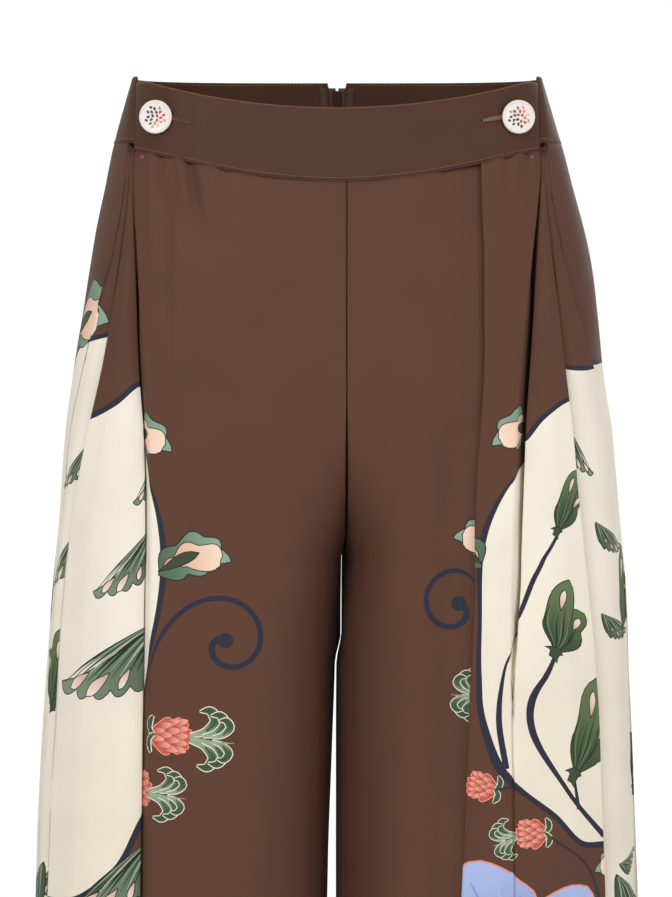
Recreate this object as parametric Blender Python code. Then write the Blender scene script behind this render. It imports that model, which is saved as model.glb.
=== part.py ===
# Palazzo trousers, filled out as worn: a wide shaped waistband that buttons at both sides, two wide legs
# with side pleats, and a zip down the centre back.
# +Z is up and the front faces -Y, so the wearer's left is at +X. The origin is the centre of the waist
# opening, level with its top edge at the sides. Sizes below are in millimetres unless a name says degrees.
import math

import bpy
import bmesh
import numpy as np
from mathutils import Matrix, Vector

MM = 0.001

# Driving dimensions
BAND_PLY = 1.8          # waistband wall
CLOTH_PLY = 1.0         # leg panel wall
SEAM_GAP = 0.3          # clear space at every seam
BAND_DEPTH = 50.0       # level of the seam under the waistband
HEM_LEVEL = -1050.0
LAP_GAP = 0.9           # between the front flap and the band end under it
FLAP_END_X = 133.0      # where the front flap stops at the side
BACK_LIFT = 5.5         # the back band is narrower, so its seam sits higher than the front one
UNDERLAP_X = 92.0       # where the back band stops under the flap
FLAP_REACH_X = 136.0    # half-width over which the flap dips towards the centre front
FLAP_TOP_DIP = -22.0    # how far its top edge dips there, and its lower edge
FLAP_SEAM_DIP = -20.5
FLAP_END_DROP = -4.5    # its ends stand this much below the back band's top
UNDERLAP_DROP = 2.5     # the underlap's top edge stands this much below the flap's
CROTCH_LEVEL = -318.0
RISE_CURVE_LEVEL = -200.0   # where the crotch curve leaves the straight rise
LEG_ROUNDING = 0.8          # exponent that rounds the inner side of a leg; 1 is an ellipse

ZIP_BOTTOM = -186.0
ZIP_TAPE = (1.2, 3.2)       # inner and outer edge of a tape, from the centre line
ZIP_INSET = (1.7, 2.6)      # tape faces, measured in from the outside of the cloth
CHAIN_HALF = 0.85
CHAIN_INSET = (1.6, 3.2)
SLIDER_TOP = -5.0
SLIDER_BOTTOM = -17.0
SLIDER_HALF = 2.7
PULL_PIVOT_Z = -9.0
PULL_LENGTH = 21.0

BUTTON_RADIUS = 11.4
BUTTON_X = 118.1
BUTTON_Z = -27.2
BUTTON_TURN_DEGREES = 24.0
BUTTON_STANDOFF = 3.6       # from the flap to the back of the button
SHANK_RADIUS = 1.6
BUTTONHOLE_LENGTH = 24.0

# The filled-out body at each level: depth of the front and back, the half-width that stays flat, and the
# exponent that squares the corners of the section
BODY = {
    "level": (0, -50, -110, -180, -250, -320, -400, -548, -800, -1050),
    "front": (86, 92, 99, 105, 108, 107, 105, 102, 102, 104),
    "back": (88, 94, 104, 116, 120, 116, 108, 104, 104, 106),
    "flat": (20, 22, 28, 36, 46, 58, 72, 88, 98, 104),
    "square": (3.0, 2.9, 2.8, 2.7, 2.6, 2.5, 2.45, 2.4, 2.4, 2.4),
}

# Half-width of each side and the distance of its fold edges from the centre line; a, b and c are the
# side pleats from front to back, and the left leg has a knife pleat p in its front panel
SIDES = {
    "right": {
        "level": (0, -50, -80, -110, -150, -190, -230, -280, -340, -410, -480, -548, -800, -1050),
        "side": (136, 148.6, 156, 162.4, 169.3, 175.1, 181, 184.8, 190.3, 195.8, 200.5, 203, 213, 222),
        "a": (126, 132.2, 132.7, 131, 128.6, 126.6, 123.5, 123, 123.9, 125.6, 127, 127.8, 131, 135),
        "b": (128, 134.4, 136, 139.8, 146.7, 154.2, 163.2, 173.2, 181.2, 185.7, 190, 192.6, 202, 210),
        "c": (130, 136.4, 139.6, 145.2, 157, 166, 175, 180.5, 187, 192, 197, 199, 209, 218),
        "inner": (1, 1, 1, 1, 1, 1, 1, 1, 1.4, 2.4, 5, 6.6, 9, 10),
    },
    "left": {
        "level": (0, -50, -80, -110, -150, -190, -230, -280, -340, -410, -480, -548, -800, -1050),
        "side": (136, 149.5, 159, 166.9, 174.2, 178.8, 183.2, 187.9, 193.5, 196.4, 199.5, 202, 212, 222),
        "a": (126, 132.2, 131.3, 127.7, 123.1, 119.5, 116.3, 114.2, 112.6, 112.8, 114, 115, 119, 124),
        "b": (128, 134.4, 135.6, 138.8, 144, 148.4, 153.7, 158.5, 165.7, 172, 175, 177.8, 188, 198),
        "c": (130, 136.4, 139.4, 145.6, 155.8, 168.5, 180, 185.5, 191, 194.5, 197.5, 200, 209, 218),
        "p": (90, 93, 93.6, 94.8, 94.9, 94.8, 92.1, 89, 89, 86.8, 84.1, 81.5, 75, 70),
        "inner": (1, 1, 1, 1, 1, 1, 1, 0.7, 0.2, -0.7, -0.8, -0.8, 3, 5),
    },
}

# Each side pleat: the levels where it opens and is full, how far the cloth dips behind its edge, the gap
# and step to the next face, the way the dip points (along the cloth, inwards) and the levels where it closes
PLEATS = {
    "right": {
        "a": {"opens": -50, "full": -190, "dip": 25, "gap": 8, "step": 6, "way": (0.55, 0.83), "closes": (-1400, -1500)},
        "b": {"opens": -96, "full": -260, "dip": 17, "gap": 3, "step": 6, "way": (-0.75, 0.66), "closes": (-1400, -1500)},
        "c": {"opens": -98, "full": -134, "dip": 7, "gap": 3, "step": 4, "way": (-0.75, 0.66), "closes": (-140, -185)},
    },
    "left": {
        "a": {"opens": -50, "full": -170, "dip": 24, "gap": 8, "step": 6, "way": (0.55, 0.83), "closes": (-330, -440)},
        "b": {"opens": -96, "full": -260, "dip": 15, "gap": 4, "step": 7, "way": (-0.75, 0.66), "closes": (-1400, -1500)},
        "c": {"opens": -98, "full": -160, "dip": 11, "gap": 3, "step": 5, "way": (-0.75, 0.66), "closes": (-185, -235)},
    },
}
SHUT_GAP = 1.4                  # cloth between the two edges of a side pleat where it is still shut
KNIFE_DEPTH = (2.5, 9.0)        # how far the knife pleat p laps, at the seam and below BAND_DEPTH * 2
KNIFE_LAYERS = (4.6, 3.0)       # its lower and middle layer, in from the top layer
KNIFE_EASE = 30.0               # over which the cloth drops to the lower layer

# Rows of the leg panels, from the waistband seam to the hem
LEVELS = (-BAND_DEPTH, -66, -82, -102, -126, -156, -190, -226, -258, -288, -307, CROTCH_LEVEL, -350,
          -400, -480, -600, -800, HEM_LEVEL)
BAND_BOTTOM = SEAM_GAP - BAND_DEPTH
FLAP_LEVELS = (0, -12, -30, BAND_BOTTOM)
BACK_BAND_LEVELS = (0, -7, -16, -30, BAND_BOTTOM)
FRONT_FADE_LEVEL = -200         # where a panel's top edge no longer bends its rows
BACK_FADE_LEVEL = -80

COLOURS = {
    "brown_cloth": ((0.125, 0.062, 0.040), 0.62, 0.0),
    "zip_cloth": ((0.085, 0.045, 0.032), 0.8, 0.0),
    "zip_metal": ((0.11, 0.058, 0.040), 0.35, 0.6),
    "button_shell": ((0.80, 0.74, 0.70), 0.25, 0.0),
}

SAMPLES = 480                   # points on the base section that the folds are placed on


def smooth_step(value, start, end):
    """0 at start, 1 at end, with level ends."""
    t = np.clip((value - start) / (end - start), 0.0, 1.0)
    return t * t * (3 - 2 * t)


def read_table(levels, values, level):
    """A smooth curve through a table column, read at one level."""
    x = -np.array(levels, float)
    v = np.array(values, float)
    slopes = np.gradient(v, x)
    place = min(max(-level, x[0]), x[-1])
    i = min(int(np.searchsorted(x, place, side="right")) - 1, len(x) - 2)
    width = x[i + 1] - x[i]
    t = (place - x[i]) / width
    return ((2 * t**3 - 3 * t**2 + 1) * v[i] + (t**3 - 2 * t**2 + t) * width * slopes[i]
            + (3 * t**2 - 2 * t**3) * v[i + 1] + (t**3 - t**2) * width * slopes[i + 1])


def base_section(side, level):
    """The section without folds: places 0 to 4 run from the centre front round the side to the back."""
    front, back, flat, square = (read_table(BODY["level"], BODY[key], level)
                                 for key in ("front", "back", "flat", "square"))
    half = read_table(SIDES[side]["level"], SIDES[side]["side"], level)
    inner = read_table(SIDES[side]["level"], SIDES[side]["inner"], level)
    drop = np.clip((RISE_CURVE_LEVEL - level) / (RISE_CURVE_LEVEL - CROTCH_LEVEL), 0, 1)
    leg = 1 - math.sqrt(1 - drop * drop)        # 0 in the rise, 1 below the crotch
    place = np.linspace(0, 4, SAMPLES)
    seam = SEAM_GAP / 2
    points = np.zeros((SAMPLES, 2))
    for start, depth, sign in ((0, front, -1), (4, back, 1)):
        f = np.clip(np.abs(place - start), 0, 1)        # across the flat, from the centre seam
        g = np.clip(np.abs(place - start) - 1, 0, 1) * math.pi / 2
        body_x = seam + (flat - seam) * f
        leg_x = flat - (flat - inner) * np.cos(f * math.pi / 2) ** LEG_ROUNDING
        leg_y = seam + (depth - seam) * np.sin(f * math.pi / 2) ** LEG_ROUNDING
        x = (1 - leg) * body_x + leg * leg_x
        y = (1 - leg) * depth + leg * leg_y
        outer = g > 0
        power = 2 / square
        x = np.where(outer, flat + (half - flat) * np.sin(g) ** power, x)
        y = np.where(outer, depth * np.maximum(np.cos(g), 0) ** power, y)
        near = np.abs(place - start) <= 2
        points[near, 0] = x[near]
        points[near, 1] = sign * y[near]
    return place, points


def walk(section, at, inset=0.0):
    """Points at the given places of a section, moved in from the surface."""
    place, points = section
    dx = np.gradient(points[:, 0])
    dy = np.gradient(points[:, 1])
    length = np.hypot(dx, dy)
    out_x = np.interp(at, place, dy / length)
    out_y = np.interp(at, place, -dx / length)
    size = np.hypot(out_x, out_y)
    x = np.interp(at, place, points[:, 0]) - inset * out_x / size
    y = np.interp(at, place, points[:, 1]) - inset * out_y / size
    return np.stack([x, y], axis=-1)


def place_of_x(section, x, back=False):
    """The place on the front, or the back, at a distance from the centre line."""
    place, points = section
    half = len(place) // 2
    if back:
        return float(np.interp(x, points[half:, 0][::-1], place[half:][::-1]))
    return float(np.interp(x, points[:half, 0], place[:half]))


def even_places(section, start, end, count):
    """Places spread evenly along the cloth between two places."""
    place = section[0]
    fine = np.linspace(start, end, 120)
    points = walk(section, fine)
    length = np.concatenate([[0], np.cumsum(np.hypot(*np.diff(points, axis=0).T))])
    return np.interp(np.linspace(0, length[-1], count), length, fine)


def speed_at(section, at):
    """Millimetres of cloth for each unit of place."""
    ends = walk(section, np.array([at - 0.01, at + 0.01]))
    return float(np.hypot(*(ends[1] - ends[0])) / 0.02)


def corner(before, here, after, radius, count):
    """Points round a corner of a folded edge."""
    if count == 1:
        return [here]
    back, ahead = before - here, after - here
    back_length, ahead_length = np.hypot(*back), np.hypot(*ahead)
    first = here + back * min(radius / back_length, 0.45)
    last = here + ahead * min(radius / ahead_length, 0.45)
    return [(1 - t)**2 * first + 2 * t * (1 - t) * here + t**2 * last for t in np.linspace(0, 1, count)]


def pleat_corners(side, name, section, level):
    """The four corners of a side pleat: its edge, the bottom of the dip, and the start of the next face."""
    pleat = PLEATS[side][name]
    opening = smooth_step(-level, -pleat["opens"], -pleat["full"])
    opening *= 1 - smooth_step(-level, -pleat["closes"][0], -pleat["closes"][1])
    at = place_of_x(section, read_table(SIDES[side]["level"], SIDES[side][name], level))
    gap = SHUT_GAP + (pleat["gap"] - SHUT_GAP) * opening
    step = pleat["step"] * opening
    next_at = at + gap / speed_at(section, at)
    edge = walk(section, at)
    start = walk(section, next_at, step)
    inwards = walk(section, at, 1.0) - edge
    along = np.array([inwards[1], -inwards[0]])
    dip = (pleat["way"][0] * opening * along + pleat["way"][1] * inwards) * pleat["dip"] * opening
    deep = [edge + (start - edge) * f + dip for f in (0.3, 0.7)]
    return {"at": at, "next_at": next_at, "step": step, "corners": [edge, deep[0], deep[1], start]}


def face(section, start, end, count, step):
    """A pleat face, from its sunken start up to the next edge."""
    at = even_places(section, start, end, count)
    fraction = np.linspace(0, 1, count)
    return walk(section, at, step * (1 - fraction)**2)


def front_path(side, level):
    """One section of a front panel, from the centre seam to the side seam inside pleat b."""
    section = base_section(side, level)
    a = pleat_corners(side, "a", section, level)
    b = pleat_corners(side, "b", section, level)
    edge_room = 3.0 / speed_at(section, a["at"])
    path = []
    if "p" in SIDES[side]:
        tip_x = read_table(SIDES[side]["level"], SIDES[side]["p"], level)
        lap = KNIFE_DEPTH[0] + (KNIFE_DEPTH[1] - KNIFE_DEPTH[0]) * smooth_step(-level, 50, 100)
        tip = place_of_x(section, tip_x)
        turn = place_of_x(section, tip_x + lap)
        low, middle = KNIFE_LAYERS
        at = even_places(section, 0, place_of_x(section, tip_x + lap - 2), 11)
        inset = low * smooth_step(walk(section, at)[:, 0], tip_x - KNIFE_EASE, tip_x - 3)
        path.extend(walk(section, at, inset))
        path.extend([walk(section, turn, low), walk(section, turn, middle),
                     walk(section, tip, middle), walk(section, tip, 0)])
        path.extend(walk(section, even_places(section, tip, a["at"] - edge_room, 5)[1:]))
    else:
        path.extend(walk(section, even_places(section, 0, a["at"] - edge_room, 13)))
    edge, deep_1, deep_2, start = a["corners"]
    face_b = face(section, a["next_at"], b["at"] - 0.4 * (b["at"] - a["next_at"]), 4, a["step"])
    path.extend(corner(path[-1], edge, deep_1, 2.2, 2))
    path.extend([deep_1, deep_2])
    path.extend(corner(deep_2, start, face_b[1], 3.0, 2))
    path.extend(face_b[1:])
    edge, deep_1, deep_2, start = b["corners"]
    middle = (deep_1 + deep_2) / 2
    away = (deep_1 - deep_2) / np.hypot(*(deep_1 - deep_2)) * SEAM_GAP / 2
    path.extend(corner(path[-1], edge, deep_1, 2.2, 2))
    path.extend([deep_1 * 0.7 + edge * 0.3, deep_1, middle + away])
    return np.array(path)


def back_path(side, level):
    """One section of a back panel, from the side seam inside pleat b to the centre back seam."""
    section = base_section(side, level)
    b = pleat_corners(side, "b", section, level)
    c = pleat_corners(side, "c", section, level)
    edge, deep_1, deep_2, start = b["corners"]
    middle = (deep_1 + deep_2) / 2
    away = (deep_2 - deep_1) / np.hypot(*(deep_2 - deep_1)) * SEAM_GAP / 2
    face_c = face(section, b["next_at"], c["at"] - 0.35 * (c["at"] - b["next_at"]), 3, b["step"])
    path = [middle + away, deep_2, deep_2 * 0.7 + start * 0.3]
    path.extend(corner(deep_2, start, face_c[1], 2.0, 2))
    path.extend(face_c[1:])
    edge, deep_1, deep_2, start = c["corners"]
    path.extend(corner(path[-1], edge, deep_1, 2.0, 2))
    path.extend([deep_1, deep_2])
    end = 4.0
    if level > ZIP_BOTTOM:
        end = place_of_x(section, 0.6, back=True)
    rest = even_places(section, c["next_at"], end, 12)
    fraction = np.linspace(0, 1, 12)
    outer = walk(section, rest, c["step"] * np.clip(1 - 3 * fraction, 0, 1)**2)
    path.extend(corner(deep_2, start, outer[1], 2.0, 2))
    path.extend(outer[1:])
    return np.array(path)


def moved_in(path, ply):
    """The inner face of a wall: every point of a section moved in by the wall's thickness."""
    steps = np.diff(path, axis=0)
    steps /= np.hypot(steps[:, 0], steps[:, 1])[:, None]
    before = np.vstack([steps[:1], steps])
    after = np.vstack([steps, steps[-1:]])
    outward = np.stack([before[:, 1] + after[:, 1], -before[:, 0] - after[:, 0]], axis=-1)
    length = np.hypot(outward[:, 0], outward[:, 1])
    bend = np.clip(length / 2, 0.62, 1.0)       # the mitre at a sharp fold is cut short
    return path - outward / length[:, None] * (ply / bend)[:, None]


def flap_drop(x, level):
    """How far the front waistband hangs below its level: it dips towards the centre front."""
    reach = np.clip(1 - (np.abs(x) / FLAP_REACH_X)**2, 0, 1)
    top = np.minimum(FLAP_TOP_DIP * reach**0.9, FLAP_END_DROP)
    bottom = FLAP_SEAM_DIP * reach**1.35
    f = np.clip(-level / BAND_DEPTH, 0, 1)
    return top * (1 - f) + bottom * f


def back_lift(x, past_flap, level):
    """How far the back waistband stands above its level; its underlap follows the flap that covers it."""
    hidden = 1 - smooth_step(past_flap, 0.4, 3.4)
    f = np.clip(-level / BAND_DEPTH, 0, 1)
    under_flap = flap_drop(x, level) - UNDERLAP_DROP * (1 - f) + f
    return hidden * under_flap + (1 - hidden) * BACK_LIFT * f


def new_object(name, bm, colour):
    """A bmesh becomes one named object with its own material."""
    bmesh.ops.recalc_face_normals(bm, faces=bm.faces)
    mesh = bpy.data.meshes.new(name)
    bm.to_mesh(mesh)
    bm.free()
    mesh.shade_smooth()
    mesh.set_sharp_from_angle(angle=math.radians(40))
    item = bpy.data.objects.new(name, mesh)
    bpy.context.collection.objects.link(item)
    base, roughness, metallic = COLOURS[colour]
    material = bpy.data.materials.new(name)
    material.use_nodes = True
    shader = material.node_tree.nodes["Principled BSDF"]
    shader.inputs["Base Color"].default_value = (*base, 1.0)
    shader.inputs["Roughness"].default_value = roughness
    shader.inputs["Metallic"].default_value = metallic
    mesh.materials.append(material)
    return item


def wall(name, outer, inner, colour):
    """A closed wall between two grids of points, each a list of rows."""
    rows, columns = len(outer), len(outer[0])
    bm = bmesh.new()
    grids = [[[bm.verts.new(Vector(point) * MM) for point in row] for row in grid] for grid in (outer, inner)]
    for r in range(rows - 1):
        for c in range(columns - 1):
            for grid in grids:
                bm.faces.new((grid[r][c], grid[r][c + 1], grid[r + 1][c + 1], grid[r + 1][c]))
    out, inn = grids
    for r in range(rows - 1):
        for c in (0, columns - 1):
            bm.faces.new((out[r][c], out[r + 1][c], inn[r + 1][c], inn[r][c]))
    for c in range(columns - 1):
        for r in (0, rows - 1):
            bm.faces.new((out[r][c], out[r][c + 1], inn[r][c + 1], inn[r][c]))
    return new_object(name, bm, colour)


def placed(paths, heights, side):
    """Plan sections and their heights become rows of points on one side of the body."""
    sign = 1 if side == "left" else -1
    return [[(sign * x, y, z) for (x, y), z in zip(path, height)] for path, height in zip(paths, heights)]


def front_top(path):
    """A front panel's top edge follows the flap's lower edge."""
    return flap_drop(path[:, 0], -BAND_DEPTH)


def back_top(path):
    """A back panel's top edge follows the back band, and eases down to the side seam under the flap."""
    along = np.concatenate([[0], np.cumsum(np.hypot(*np.diff(path, axis=0).T))])
    return BACK_LIFT * smooth_step(along, 0, 7)


def leg_panel(name, side, path_of, shift, fade_level):
    """One leg panel from its sections at every level."""
    paths = [path_of(side, level) for level in LEVELS]
    first = paths[0]
    drop = shift(first)
    fade = [1 - smooth_step(-level, BAND_DEPTH, -fade_level) for level in LEVELS]
    heights = [level + drop * f for level, f in zip(LEVELS, fade)]
    inner = [moved_in(path, CLOTH_PLY) for path in paths]
    wall(name, placed(paths, heights, side), placed(inner, heights, side), "brown_cloth")


def front_waistband():
    """The flap: one shaped band from side to side across the front."""
    outer, inner = [], []
    for level in FLAP_LEVELS:
        halves = []
        for side in ("right", "left"):
            section = base_section(side, level)
            at = even_places(section, 0.02, place_of_x(section, FLAP_END_X), 15)
            path = walk(section, at)
            inside = walk(section, at, BAND_PLY)
            z = level + flap_drop(path[:, 0], level)
            sign = 1 if side == "left" else -1
            halves.append([((sign * px, py, h), (sign * ix, iy, h))
                           for (px, py), (ix, iy), h in zip(path, inside, z)])
        row = halves[0][::-1] + halves[1]
        outer.append([pair[0] for pair in row])
        inner.append([pair[1] for pair in row])
    return wall("waistband_front", outer, inner, "brown_cloth")


def back_waistband(name, side):
    """Half of the back band, from the zip round the side to the button underlap."""
    paths, inner, heights = [], [], []
    for level in BACK_BAND_LEVELS:
        section = base_section(side, level)
        under = BAND_PLY + LAP_GAP
        end = 5.0 + 1.4 * (1 - smooth_step(-level, 0, 7))
        start = place_of_x(section, UNDERLAP_X)
        flap_end = place_of_x(section, FLAP_END_X)
        speed = speed_at(section, flap_end)
        corner_places = [flap_end + reach / speed for reach in (-8, -4, -1, 2, 5, 9)]
        at = np.concatenate([even_places(section, start, corner_places[0], 5)[:-1], corner_places,
                             even_places(section, corner_places[-1],
                                         place_of_x(section, end, back=True), 15)[1:]])
        x = walk(section, at)[:, 0]
        past_flap = (at - flap_end) * speed
        cover = 1 - smooth_step(past_flap, 0.5, 9.0)
        paths.append(walk(section, at, under * cover))
        inner.append(walk(section, at, under * cover + BAND_PLY))
        heights.append(level + back_lift(x, past_flap, level))
    wall(name, placed(paths, heights, side), placed(inner, heights, side), "brown_cloth")


def strip_on_back(name, side, edges, insets, top, colour):
    """A narrow strip that runs down the centre back inside the cloth."""
    levels = [top + (ZIP_BOTTOM - top) * f for f in np.linspace(0, 1, 9)]
    outer, inner = [], []
    for level in levels:
        depth = read_table(BODY["level"], BODY["back"], level)
        outer.append([(side * x, depth - insets[0], level) for x in edges])
        inner.append([(side * x, depth - insets[1], level) for x in edges])
    wall(name, outer, inner, colour)


def box(bm, low, high):
    """An axis-aligned box, in millimetres."""
    size = Vector(high) - Vector(low)
    place = (Vector(high) + Vector(low)) / 2
    matrix = Matrix.Translation(place * MM) @ Matrix.Diagonal((*(size * MM), 1.0))
    return bmesh.ops.create_cube(bm, size=1.0, matrix=matrix)


def cylinder(bm, centre, radius, length, axis, segments=16):
    """A cylinder about a point, along the X or Y axis."""
    turn = Matrix.Rotation(math.pi / 2, 4, "Y" if axis == "X" else "X")
    return bmesh.ops.create_cone(bm, cap_ends=True, segments=segments, radius1=radius * MM, radius2=radius * MM,
                                 depth=length * MM, matrix=Matrix.Translation(Vector(centre) * MM) @ turn)


def cutter(name, bm, matrix):
    """A guide for a Boolean, left out of the model itself."""
    item = new_object(name, bm, "zip_metal")
    item.matrix_world = matrix
    item.hide_render = True
    item.display_type = "WIRE"
    return item


def combine(item, other, operation):
    """A Boolean modifier with the exact solver."""
    modifier = item.modifiers.new(operation.lower(), "BOOLEAN")
    modifier.operation = operation
    modifier.solver = "EXACT"
    modifier.object = other


def zip_slope():
    """The angle at which the centre back leans out below the waist."""
    rise = read_table(BODY["level"], BODY["back"], -30) - read_table(BODY["level"], BODY["back"], -9)
    return math.atan2(rise, 21)


def zip_metal_parts():
    """The slider with its bridge, and the pull that hangs on it outside the cloth."""
    surface = read_table(BODY["level"], BODY["back"], PULL_PIVOT_Z)
    frame = Matrix.Translation(Vector((0, surface, PULL_PIVOT_Z)) * MM) @ Matrix.Rotation(zip_slope(), 4, "X")
    up, down = SLIDER_TOP - PULL_PIVOT_Z, SLIDER_BOTTOM - PULL_PIVOT_Z
    bm = bmesh.new()
    box(bm, (-SLIDER_HALF, -3.6, down), (SLIDER_HALF, -1.2, up))
    bmesh.ops.bevel(bm, geom=bm.edges[:], offset=0.5 * MM, segments=2, affect="EDGES")
    slider = new_object("zip_slider", bm, "zip_metal")
    slider.matrix_world = frame
    bm = bmesh.new()
    box(bm, (-0.7, -2.4, -4.0), (0.7, 3.6, 3.4))
    top_edges = [e for e in bm.edges if all(v.co.y > 3.5 * MM for v in e.verts) and
                 abs(e.verts[0].co.z - e.verts[1].co.z) < 0.1 * MM]
    bmesh.ops.bevel(bm, geom=top_edges, offset=2.0 * MM, segments=3, affect="EDGES")
    combine(slider, cutter("bridge_plate", bm, frame), "UNION")
    bm = bmesh.new()
    cylinder(bm, (0, 1.7, 0), 1.2, 4, "X")
    combine(slider, cutter("bridge_eye", bm, frame), "DIFFERENCE")

    pivot = frame @ Vector((0, 1.7 * MM, 0))
    lean = Matrix.Translation(pivot) @ Matrix.Rotation(zip_slope() + math.radians(1.5), 4, "X")
    bm = bmesh.new()
    box(bm, (-2.4, -0.5, -PULL_LENGTH), (2.4, 0.5, 0.55))
    bmesh.ops.bevel(bm, geom=[e for e in bm.edges if abs((e.verts[0].co - e.verts[1].co).y) > 0.5 * MM],
                    offset=0.5 * MM, segments=2, affect="EDGES")
    pull = new_object("zip_pull", bm, "zip_metal")
    pull.matrix_world = lean
    bm = bmesh.new()
    box(bm, (-1.3, -2, -6.0), (1.3, 2, -0.55))
    combine(pull, cutter("pull_window", bm, lean), "DIFFERENCE")


def button_frame(side):
    """Where a button sits: its origin is on the flap's face and +Z points out along its shank."""
    sign = 1 if side == "left" else -1
    turn = math.radians(BUTTON_TURN_DEGREES)
    section = base_section(side, BUTTON_Z + 5)
    foot_x = BUTTON_X - (BUTTON_STANDOFF + 1.9) * math.sin(turn)
    foot = walk(section, place_of_x(section, foot_x))
    spot = Vector((sign * foot[0], foot[1], BUTTON_Z)) * MM
    facing = Vector((sign * math.sin(turn), -math.cos(turn), 0))
    across = Vector((0, 0, 1)).cross(facing)
    turned = Matrix((across, Vector((0, 0, 1)), facing)).transposed()
    return Matrix.Translation(spot) @ turned.to_4x4(), section, foot_x, sign


def button(side):
    """A shank button with a raised rim, turned about its axis."""
    frame = button_frame(side)[0]
    back = BUTTON_STANDOFF
    profile = [(0, -0.9), (SHANK_RADIUS, -0.9), (SHANK_RADIUS, back), (9.4, back), (11.0, back + 0.5),
               (BUTTON_RADIUS, back + 1.3), (11.0, back + 2.1), (10.2, back + 2.4), (9.5, back + 2.1), (0, back + 1.9)]
    bm = bmesh.new()
    points = [bm.verts.new((r * MM, 0, z * MM)) for r, z in profile]
    edges = [bm.edges.new(pair) for pair in zip(points, points[1:])]
    bmesh.ops.spin(bm, geom=points + edges, cent=(0, 0, 0), axis=(0, 0, 1), angle=2 * math.pi, steps=28,
                   use_duplicate=False)
    bmesh.ops.remove_doubles(bm, verts=bm.verts, dist=0.01 * MM)
    item = new_object("button_" + side, bm, "button_shell")
    item.matrix_world = frame


def cut_buttonhole(flap, side):
    """A slit through the flap, opened round the button's shank."""
    frame, section, foot_x, sign = button_frame(side)
    bm = bmesh.new()
    bmesh.ops.create_cone(bm, cap_ends=True, segments=16, radius1=2.4 * MM, radius2=2.4 * MM, depth=8 * MM)
    combine(flap, cutter("shank_hole_" + side, bm, frame), "DIFFERENCE")
    inner_x = foot_x - BUTTONHOLE_LENGTH + 3
    ends = walk(section, np.array([place_of_x(section, foot_x), place_of_x(section, inner_x)]))
    along = Vector((sign * (ends[0][0] - ends[1][0]), ends[0][1] - ends[1][1], 0))
    centre = Vector((sign * (ends[0][0] + ends[1][0]) / 2, (ends[0][1] + ends[1][1]) / 2, BUTTON_Z)) * MM
    x_axis = along.normalized()
    y_axis = Vector((0, 0, 1)).cross(x_axis)
    matrix = Matrix.Translation(centre) @ Matrix((x_axis, y_axis, Vector((0, 0, 1)))).transposed().to_4x4()
    bm = bmesh.new()
    half = along.length / 2
    box(bm, (-half, -4, -0.6), (half, 4, 0.6))
    combine(flap, cutter("slit_" + side, bm, matrix), "DIFFERENCE")


def main():
    for item in list(bpy.data.objects):
        bpy.data.objects.remove(item)
    flap = front_waistband()
    for side in ("right", "left"):
        back_waistband("waistband_back_" + side, side)
        leg_panel("front_" + side, side, front_path, front_top, FRONT_FADE_LEVEL)
        leg_panel("back_" + side, side, back_path, back_top, BACK_FADE_LEVEL)
        button(side)
        cut_buttonhole(flap, side)
        sign = 1 if side == "left" else -1
        strip_on_back("zip_tape_" + side, sign, ZIP_TAPE, ZIP_INSET, SLIDER_BOTTOM - 0.5, "zip_cloth")
    strip_on_back("zip_chain", 1, (-CHAIN_HALF, CHAIN_HALF), CHAIN_INSET, SLIDER_BOTTOM - 0.5, "zip_metal")
    zip_metal_parts()


main()
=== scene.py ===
import math
from functools import lru_cache

import bpy
import numpy as np
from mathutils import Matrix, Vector
from mathutils.geometry import delaunay_2d_cdt


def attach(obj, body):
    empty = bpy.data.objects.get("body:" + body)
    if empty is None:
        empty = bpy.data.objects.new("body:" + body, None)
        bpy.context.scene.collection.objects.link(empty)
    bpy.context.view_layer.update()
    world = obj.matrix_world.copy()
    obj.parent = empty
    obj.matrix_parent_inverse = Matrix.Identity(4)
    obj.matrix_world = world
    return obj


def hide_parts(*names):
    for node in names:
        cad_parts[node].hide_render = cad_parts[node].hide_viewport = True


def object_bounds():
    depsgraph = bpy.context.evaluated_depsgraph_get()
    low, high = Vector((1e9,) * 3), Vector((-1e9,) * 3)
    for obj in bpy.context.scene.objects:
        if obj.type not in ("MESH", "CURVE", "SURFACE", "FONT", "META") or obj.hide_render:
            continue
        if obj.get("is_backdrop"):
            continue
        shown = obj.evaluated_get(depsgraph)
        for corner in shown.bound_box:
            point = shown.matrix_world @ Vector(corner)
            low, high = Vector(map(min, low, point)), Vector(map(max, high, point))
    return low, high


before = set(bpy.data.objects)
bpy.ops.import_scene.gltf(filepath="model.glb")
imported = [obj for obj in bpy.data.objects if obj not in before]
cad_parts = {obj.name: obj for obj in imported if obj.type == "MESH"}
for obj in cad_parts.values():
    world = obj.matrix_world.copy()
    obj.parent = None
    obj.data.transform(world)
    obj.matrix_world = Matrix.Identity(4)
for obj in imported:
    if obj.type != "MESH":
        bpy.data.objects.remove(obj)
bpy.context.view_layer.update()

# Palazzo trousers with a buttoned waistband, side pleats and a placed garden print.
# Lengths in the tables are millimetres; mm turns them into metres when a mesh is made.
mm = 0.001

# The filled-out body at each level, as the CAD has it
body = {
    "level": (0, -50, -110, -180, -250, -320, -400, -548, -800, -1050),
    "front": (86, 92, 99, 105, 108, 107, 105, 102, 102, 104),
    "back": (88, 94, 104, 116, 120, 116, 108, 104, 104, 106),
    "flat": (20, 22, 28, 36, 46, 58, 72, 88, 98, 104),
    "square": (3.0, 2.9, 2.8, 2.7, 2.6, 2.5, 2.45, 2.4, 2.4, 2.4),
}

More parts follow.
